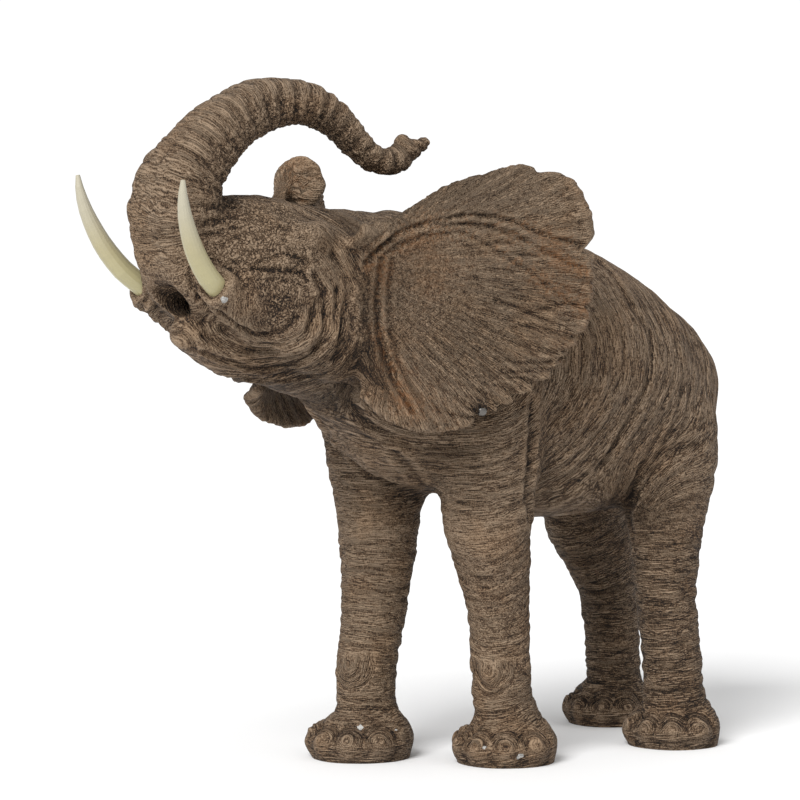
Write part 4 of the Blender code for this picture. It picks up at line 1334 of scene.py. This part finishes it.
@dataclass(frozen=True)
class ResinFinish:
    """Brown paint with a dark wash in the carved lines and dry brushed ridges, and painted shade under
    the body, on the hind legs and feet.
    """

    groove: Colour = (0.0060, 0.0034, 0.0019)
    shade: Colour = (0.0430, 0.0240, 0.0120)
    skin: Colour = (0.1060, 0.0660, 0.0370)
    ridge: Colour = (0.2560, 0.1830, 0.1210)
    rust: Colour = (0.1900, 0.0760, 0.0210)
    chip: Colour = (0.42, 0.41, 0.39)
    tint: Colour = (1.0, 0.86, 0.70)
    crack_pitch: float = 0.0046
    line_pitch: float = 0.0021
    hair_pitch: float = 0.0011
    cross_pitch: float = 0.0030
    worm_pitch: float = 0.0021
    relief_depth: float = 0.0016
    roughness: float = 0.66
    specular: float = 0.25
    # Weights of what makes up the tone
    line_weight: float = 1.10
    grit_weight: float = 1.45
    speck_weight: float = 0.36
    patch_weight: float = 0.22
    hollow_weight: float = -0.40
    # weight of the painted shade and dark stain
    shade_and_stain_weight: float = -0.20
    worn_weight: float = 0.10
    ear_weight: float = 0.035
    lift: float = 0.080

    @staticmethod
    def cut(value: Link, steepness: float) -> Link:
        """Thin grooves along noise's middle value, from 0 in them to 1 between them."""
        palette = value.palette
        return palette.sum("MULTIPLY", palette.sum("ABSOLUTE", value - 0.5), steepness, clamp=True)

    def carving(
        self, paint: Palette, line: Link, cross: Link, ways: tuple[Link, Link], weave: Link
    ) -> Link:
        """Height of the carved lines of one set.

        Args:
            paint: the material's nodes.
            line: the number that is the same all along one line.
            cross: the number that grows along a line.
            ways: two slow numbers that break the lines up.
            weave: how strong the lines across are.

        Returns:
            The height, from 0 to 1.
        """
        u, v = ways
        cracks = self.cut(paint.noise(line * (1 / self.crack_pitch), u, v, detail=2.0), 20.0)
        wander = paint.noise(line * 160, u, v, detail=2.0) * 4.0
        combed = paint.sum("PINGPONG", line * (1 / self.line_pitch) + wander, 0.5) * 2
        hairs = paint.sum("PINGPONG", line * (1 / self.hair_pitch) - wander * 1.7, 0.5) * 2
        faint = paint.band(paint.noise(line * 500, u * 3, v * 3, detail=1.0), 0.36, 0.60)
        combed = combed**0.55 * (1 - faint * 0.6) + faint * 0.6
        woven = paint.noise(cross * (1 / self.cross_pitch), u * 2.5, v * 2.5, detail=1.0)
        across = 1 - (1 - self.cut(woven, 9.0)) * weave
        lines = (cracks * 0.55 + 0.45) * (combed * 0.90 + 0.10)
        return lines * (hairs * 0.72 + 0.42) * (across * 0.7 + 0.3)

    def make(self) -> bpy.types.Material:
        """Builds the material.

        Returns:
            The material.
        """
        paint = Palette("painted_resin")
        x, y, z = paint.place()
        first, first_cross, share = paint.attribute("lines_first")
        second, second_cross, hollow = paint.attribute("lines_second")
        comb, chip, worn = paint.attribute("combing")
        # the second number is painted shade, with some dark stain
        rust, shade_and_stain, ear = paint.attribute("stains_and_shade")
        ways = ((x + y * 0.6) * 70.0, (z - y * 0.6) * 70.0)
        weave = 1 - comb * 0.6
        grit = paint.noise(x * 1500, y * 1500, z * 1500, detail=1.0)
        specks = paint.noise(x * 420, y * 420, z * 420, detail=2.0, roughness=0.7)
        patches = paint.noise(x * 26, y * 26, z * 26, detail=3.0)
        one = self.carving(paint, first, first_cross, ways, weave)
        two = self.carving(paint, second, second_cross, ways, weave)
        lines = one * share + two * (1 - share)
        size = 1 / self.worm_pitch
        worms = self.cut(paint.noise(x * size, y * size, z * size, detail=1.5, roughness=0.6), 7.0)
        lines = lines * (comb * 0.7 + 0.3) + (worms * 0.75 + specks * 0.2) * (1 - comb) * 0.7
        tone = lines * self.line_weight + (grit - 0.5) * self.grit_weight
        tone = tone + (specks - 0.5) * self.speck_weight + (patches - 0.5) * self.patch_weight
        # painted shade and dark stain darken the tone
        tone = tone + hollow * self.hollow_weight + shade_and_stain * self.shade_and_stain_weight
        tone = tone + worn * self.worn_weight + ear * self.ear_weight + self.lift
        colour = paint.ramp(
            tone, (0.04, self.groove), (0.30, self.shade), (0.52, self.skin), (0.92, self.ridge)
        )
        rusty = rust * paint.band(specks * 0.5 + patches * 0.5, 0.46, 0.58) * 0.45
        rusty = rusty + ear * paint.band(patches * 0.6 + specks * 0.4, 0.53, 0.62) * 0.12
        colour = paint.blend(rusty, colour, (*self.rust, 1))
        warmth = paint.band(paint.noise(x * 34, y * 34, z * 34, detail=2.0), 0.46, 0.64)
        colour = paint.blend(warmth * 0.35, colour, (*self.tint, 1), "MULTIPLY")
        flaked = paint.band(chip + specks * 0.5, 0.95, 1.0)
        colour = paint.blend(flaked, colour, (*self.chip, 1))
        paint.feed(paint.shader.inputs["Base Color"], colour)
        paint.feed(paint.shader.inputs["Roughness"], (1 - lines) * 0.15 + self.roughness)
        paint.shader.inputs["Specular IOR Level"].default_value = self.specular
        paint.bump(lines * 0.85 + grit * 0.15, self.relief_depth, 1.0)
        return paint.material


@dataclass(frozen=True)
class TuskFinish:
    """Cream tusk, paler at the tip."""

    cream: Colour = (0.370, 0.328, 0.195)
    tip: Colour = (0.385, 0.355, 0.270)
    base: Colour = (0.405, 0.365, 0.200)
    roughness: float = 0.32
    relief_depth: float = 0.0003

    def make(self) -> bpy.types.Material:
        """Builds the material."""
        paint = Palette("cream_tusk")
        x, y, z = paint.place()
        mottle = paint.noise(x * 160, y * 160, z * 60, detail=3.0)
        rise = paint.band(z + (mottle - 0.5) * 0.010, 0.262, 0.318)
        colour = paint.ramp(rise, (0.0, self.base), (0.45, self.cream), (1.0, self.tip))
        paint.feed(paint.shader.inputs["Base Color"], colour)
        paint.shader.inputs["Roughness"].default_value = self.roughness
        paint.bump(mottle, self.relief_depth, 0.4)
        return paint.material


@dataclass(frozen=True)
class SteelFinish:
    """Dull steel with fine scratches."""

    steel: Colour = (0.16, 0.15, 0.14)

    def make(self) -> bpy.types.Material:
        """Builds the material."""
        paint = Palette("pin_steel")
        x, y, z = paint.place()
        scratch = paint.noise(x * 2000, y * 300, z * 2000, detail=2.0)
        paint.shader.inputs["Base Color"].default_value = (*self.steel, 1)
        paint.shader.inputs["Metallic"].default_value = 1.0
        paint.feed(paint.shader.inputs["Roughness"], scratch * 0.4 + 0.15)
        return paint.material


@dataclass(frozen=True)
class Studio:
    """White floor, soft lamps and the photograph's camera."""

    azimuth: float = -41.0
    elevation: float = 3.4
    distance: float = 5.5556  # in shares of the height
    focal_pixels: float = 3672.0
    frame_pixels: float = 800.0
    plan_origin_pixel: tuple[float, float] = (534.0, 746.0)
    sky_light: float = 0.6

    def camera(self) -> None:
        """Sets the camera so that the stations' origin shows at its pixel."""
        a, e = math.radians(self.azimuth), math.radians(self.elevation)
        back = np.array([math.sin(a) * math.cos(e), -math.cos(a) * math.cos(e), math.sin(e)])
        right = np.array([math.cos(a), math.sin(a), 0.0])
        up = np.cross(back, right)
        half = self.frame_pixels / 2
        du = (self.plan_origin_pixel[0] - half) / self.focal_pixels
        dv = (half - self.plan_origin_pixel[1]) / self.focal_pixels
        place = (back - right * du - up * dv) * self.distance
        camera = bpy.data.cameras.new("camera")
        camera.sensor_width = 36.0
        camera.lens = self.focal_pixels * camera.sensor_width / self.frame_pixels
        camera.clip_end = 50.0
        obj = bpy.data.objects.new("camera", camera)
        bpy.context.scene.collection.objects.link(obj)
        turn = Matrix((right, up, back)).transposed().to_4x4()
        obj.matrix_world = Matrix.Translation(to_frame(place)) @ turn
        bpy.context.scene.camera = obj

    @staticmethod
    def lamp(name: str, place: Sequence[float], spread: float, strength: float) -> None:
        """Adds a wide far lamp that faces the figure.

        Args:
            name: of the lamp.
            place: a point on the way to it.
            spread: how wide it looks, in degrees.
            strength: watts to a square metre.
        """
        light = bpy.data.lights.new(name, "SUN")
        light.energy = strength
        light.angle = math.radians(spread)
        obj = bpy.data.objects.new(name, light)
        obj.location = place
        obj.rotation_euler = (-Vector(place)).to_track_quat("-Z", "Y").to_euler()
        bpy.context.scene.collection.objects.link(obj)

    def sky(self) -> None:
        """Sets white paper all round, which lights the figure less than it looks."""
        world = bpy.data.worlds.new("studio")
        world.use_nodes = True
        tree = world.node_tree
        seen = tree.nodes["Background"]
        seen.inputs[0].default_value = (1, 1, 1, 1)
        path = tree.nodes.new("ShaderNodeLightPath")
        strength = tree.nodes.new("ShaderNodeMapRange")
        strength.inputs["To Min"].default_value = self.sky_light
        strength.inputs["To Max"].default_value = 1.05
        tree.links.new(path.outputs["Is Camera Ray"], strength.inputs["Value"])
        tree.links.new(strength.outputs[0], seen.inputs[1])
        bpy.context.scene.world = world

    @staticmethod
    def floor() -> None:
        """Lays a wide white sheet under the figure."""
        Bench.clear()
        bpy.ops.mesh.primitive_plane_add(size=14.0, location=(0, 0, 0))
        sheet = bpy.context.object
        sheet.name = "studio_floor"
        paint = Palette("white_paper")
        paint.shader.inputs["Base Color"].default_value = (0.88, 0.88, 0.88, 1)
        paint.shader.inputs["Roughness"].default_value = 0.9
        sheet.data.materials.append(paint.material)

    def build(self) -> None:
        """Sets up the whole studio."""
        self.floor()
        self.camera()
        self.sky()
        self.lamp("key", (-2.2, -1.0, 1.9), 30.0, 3.3)
        self.lamp("fill", (0.4, -2.0, 1.6), 60.0, 0.3)
        bpy.context.scene.view_settings.view_transform = "Standard"


def dress(piece: bpy.types.Object, material: bpy.types.Material) -> None:
    """Gives a piece one material."""
    piece.data.materials.clear()
    piece.data.materials.append(material)


def main() -> None:
    """Builds and dresses each piece, and reports the casting's triangles."""
    logging.basicConfig(level=logging.INFO, format="%(message)s")
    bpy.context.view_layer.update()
    skin = Casting().build()
    dress(skin, ResinFinish().make())
    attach(skin, "root")
    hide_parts("elephant")
    log.info("casting: %d triangles", Bench.triangles(skin))
    tusk = TuskFinish().make()
    for name in ("tusk_left", "tusk_right"):
        dress(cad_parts[name], tusk)
    dress(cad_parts["ear_pin"], SteelFinish().make())
    Studio().build()


if __name__ == "__main__":
    main()
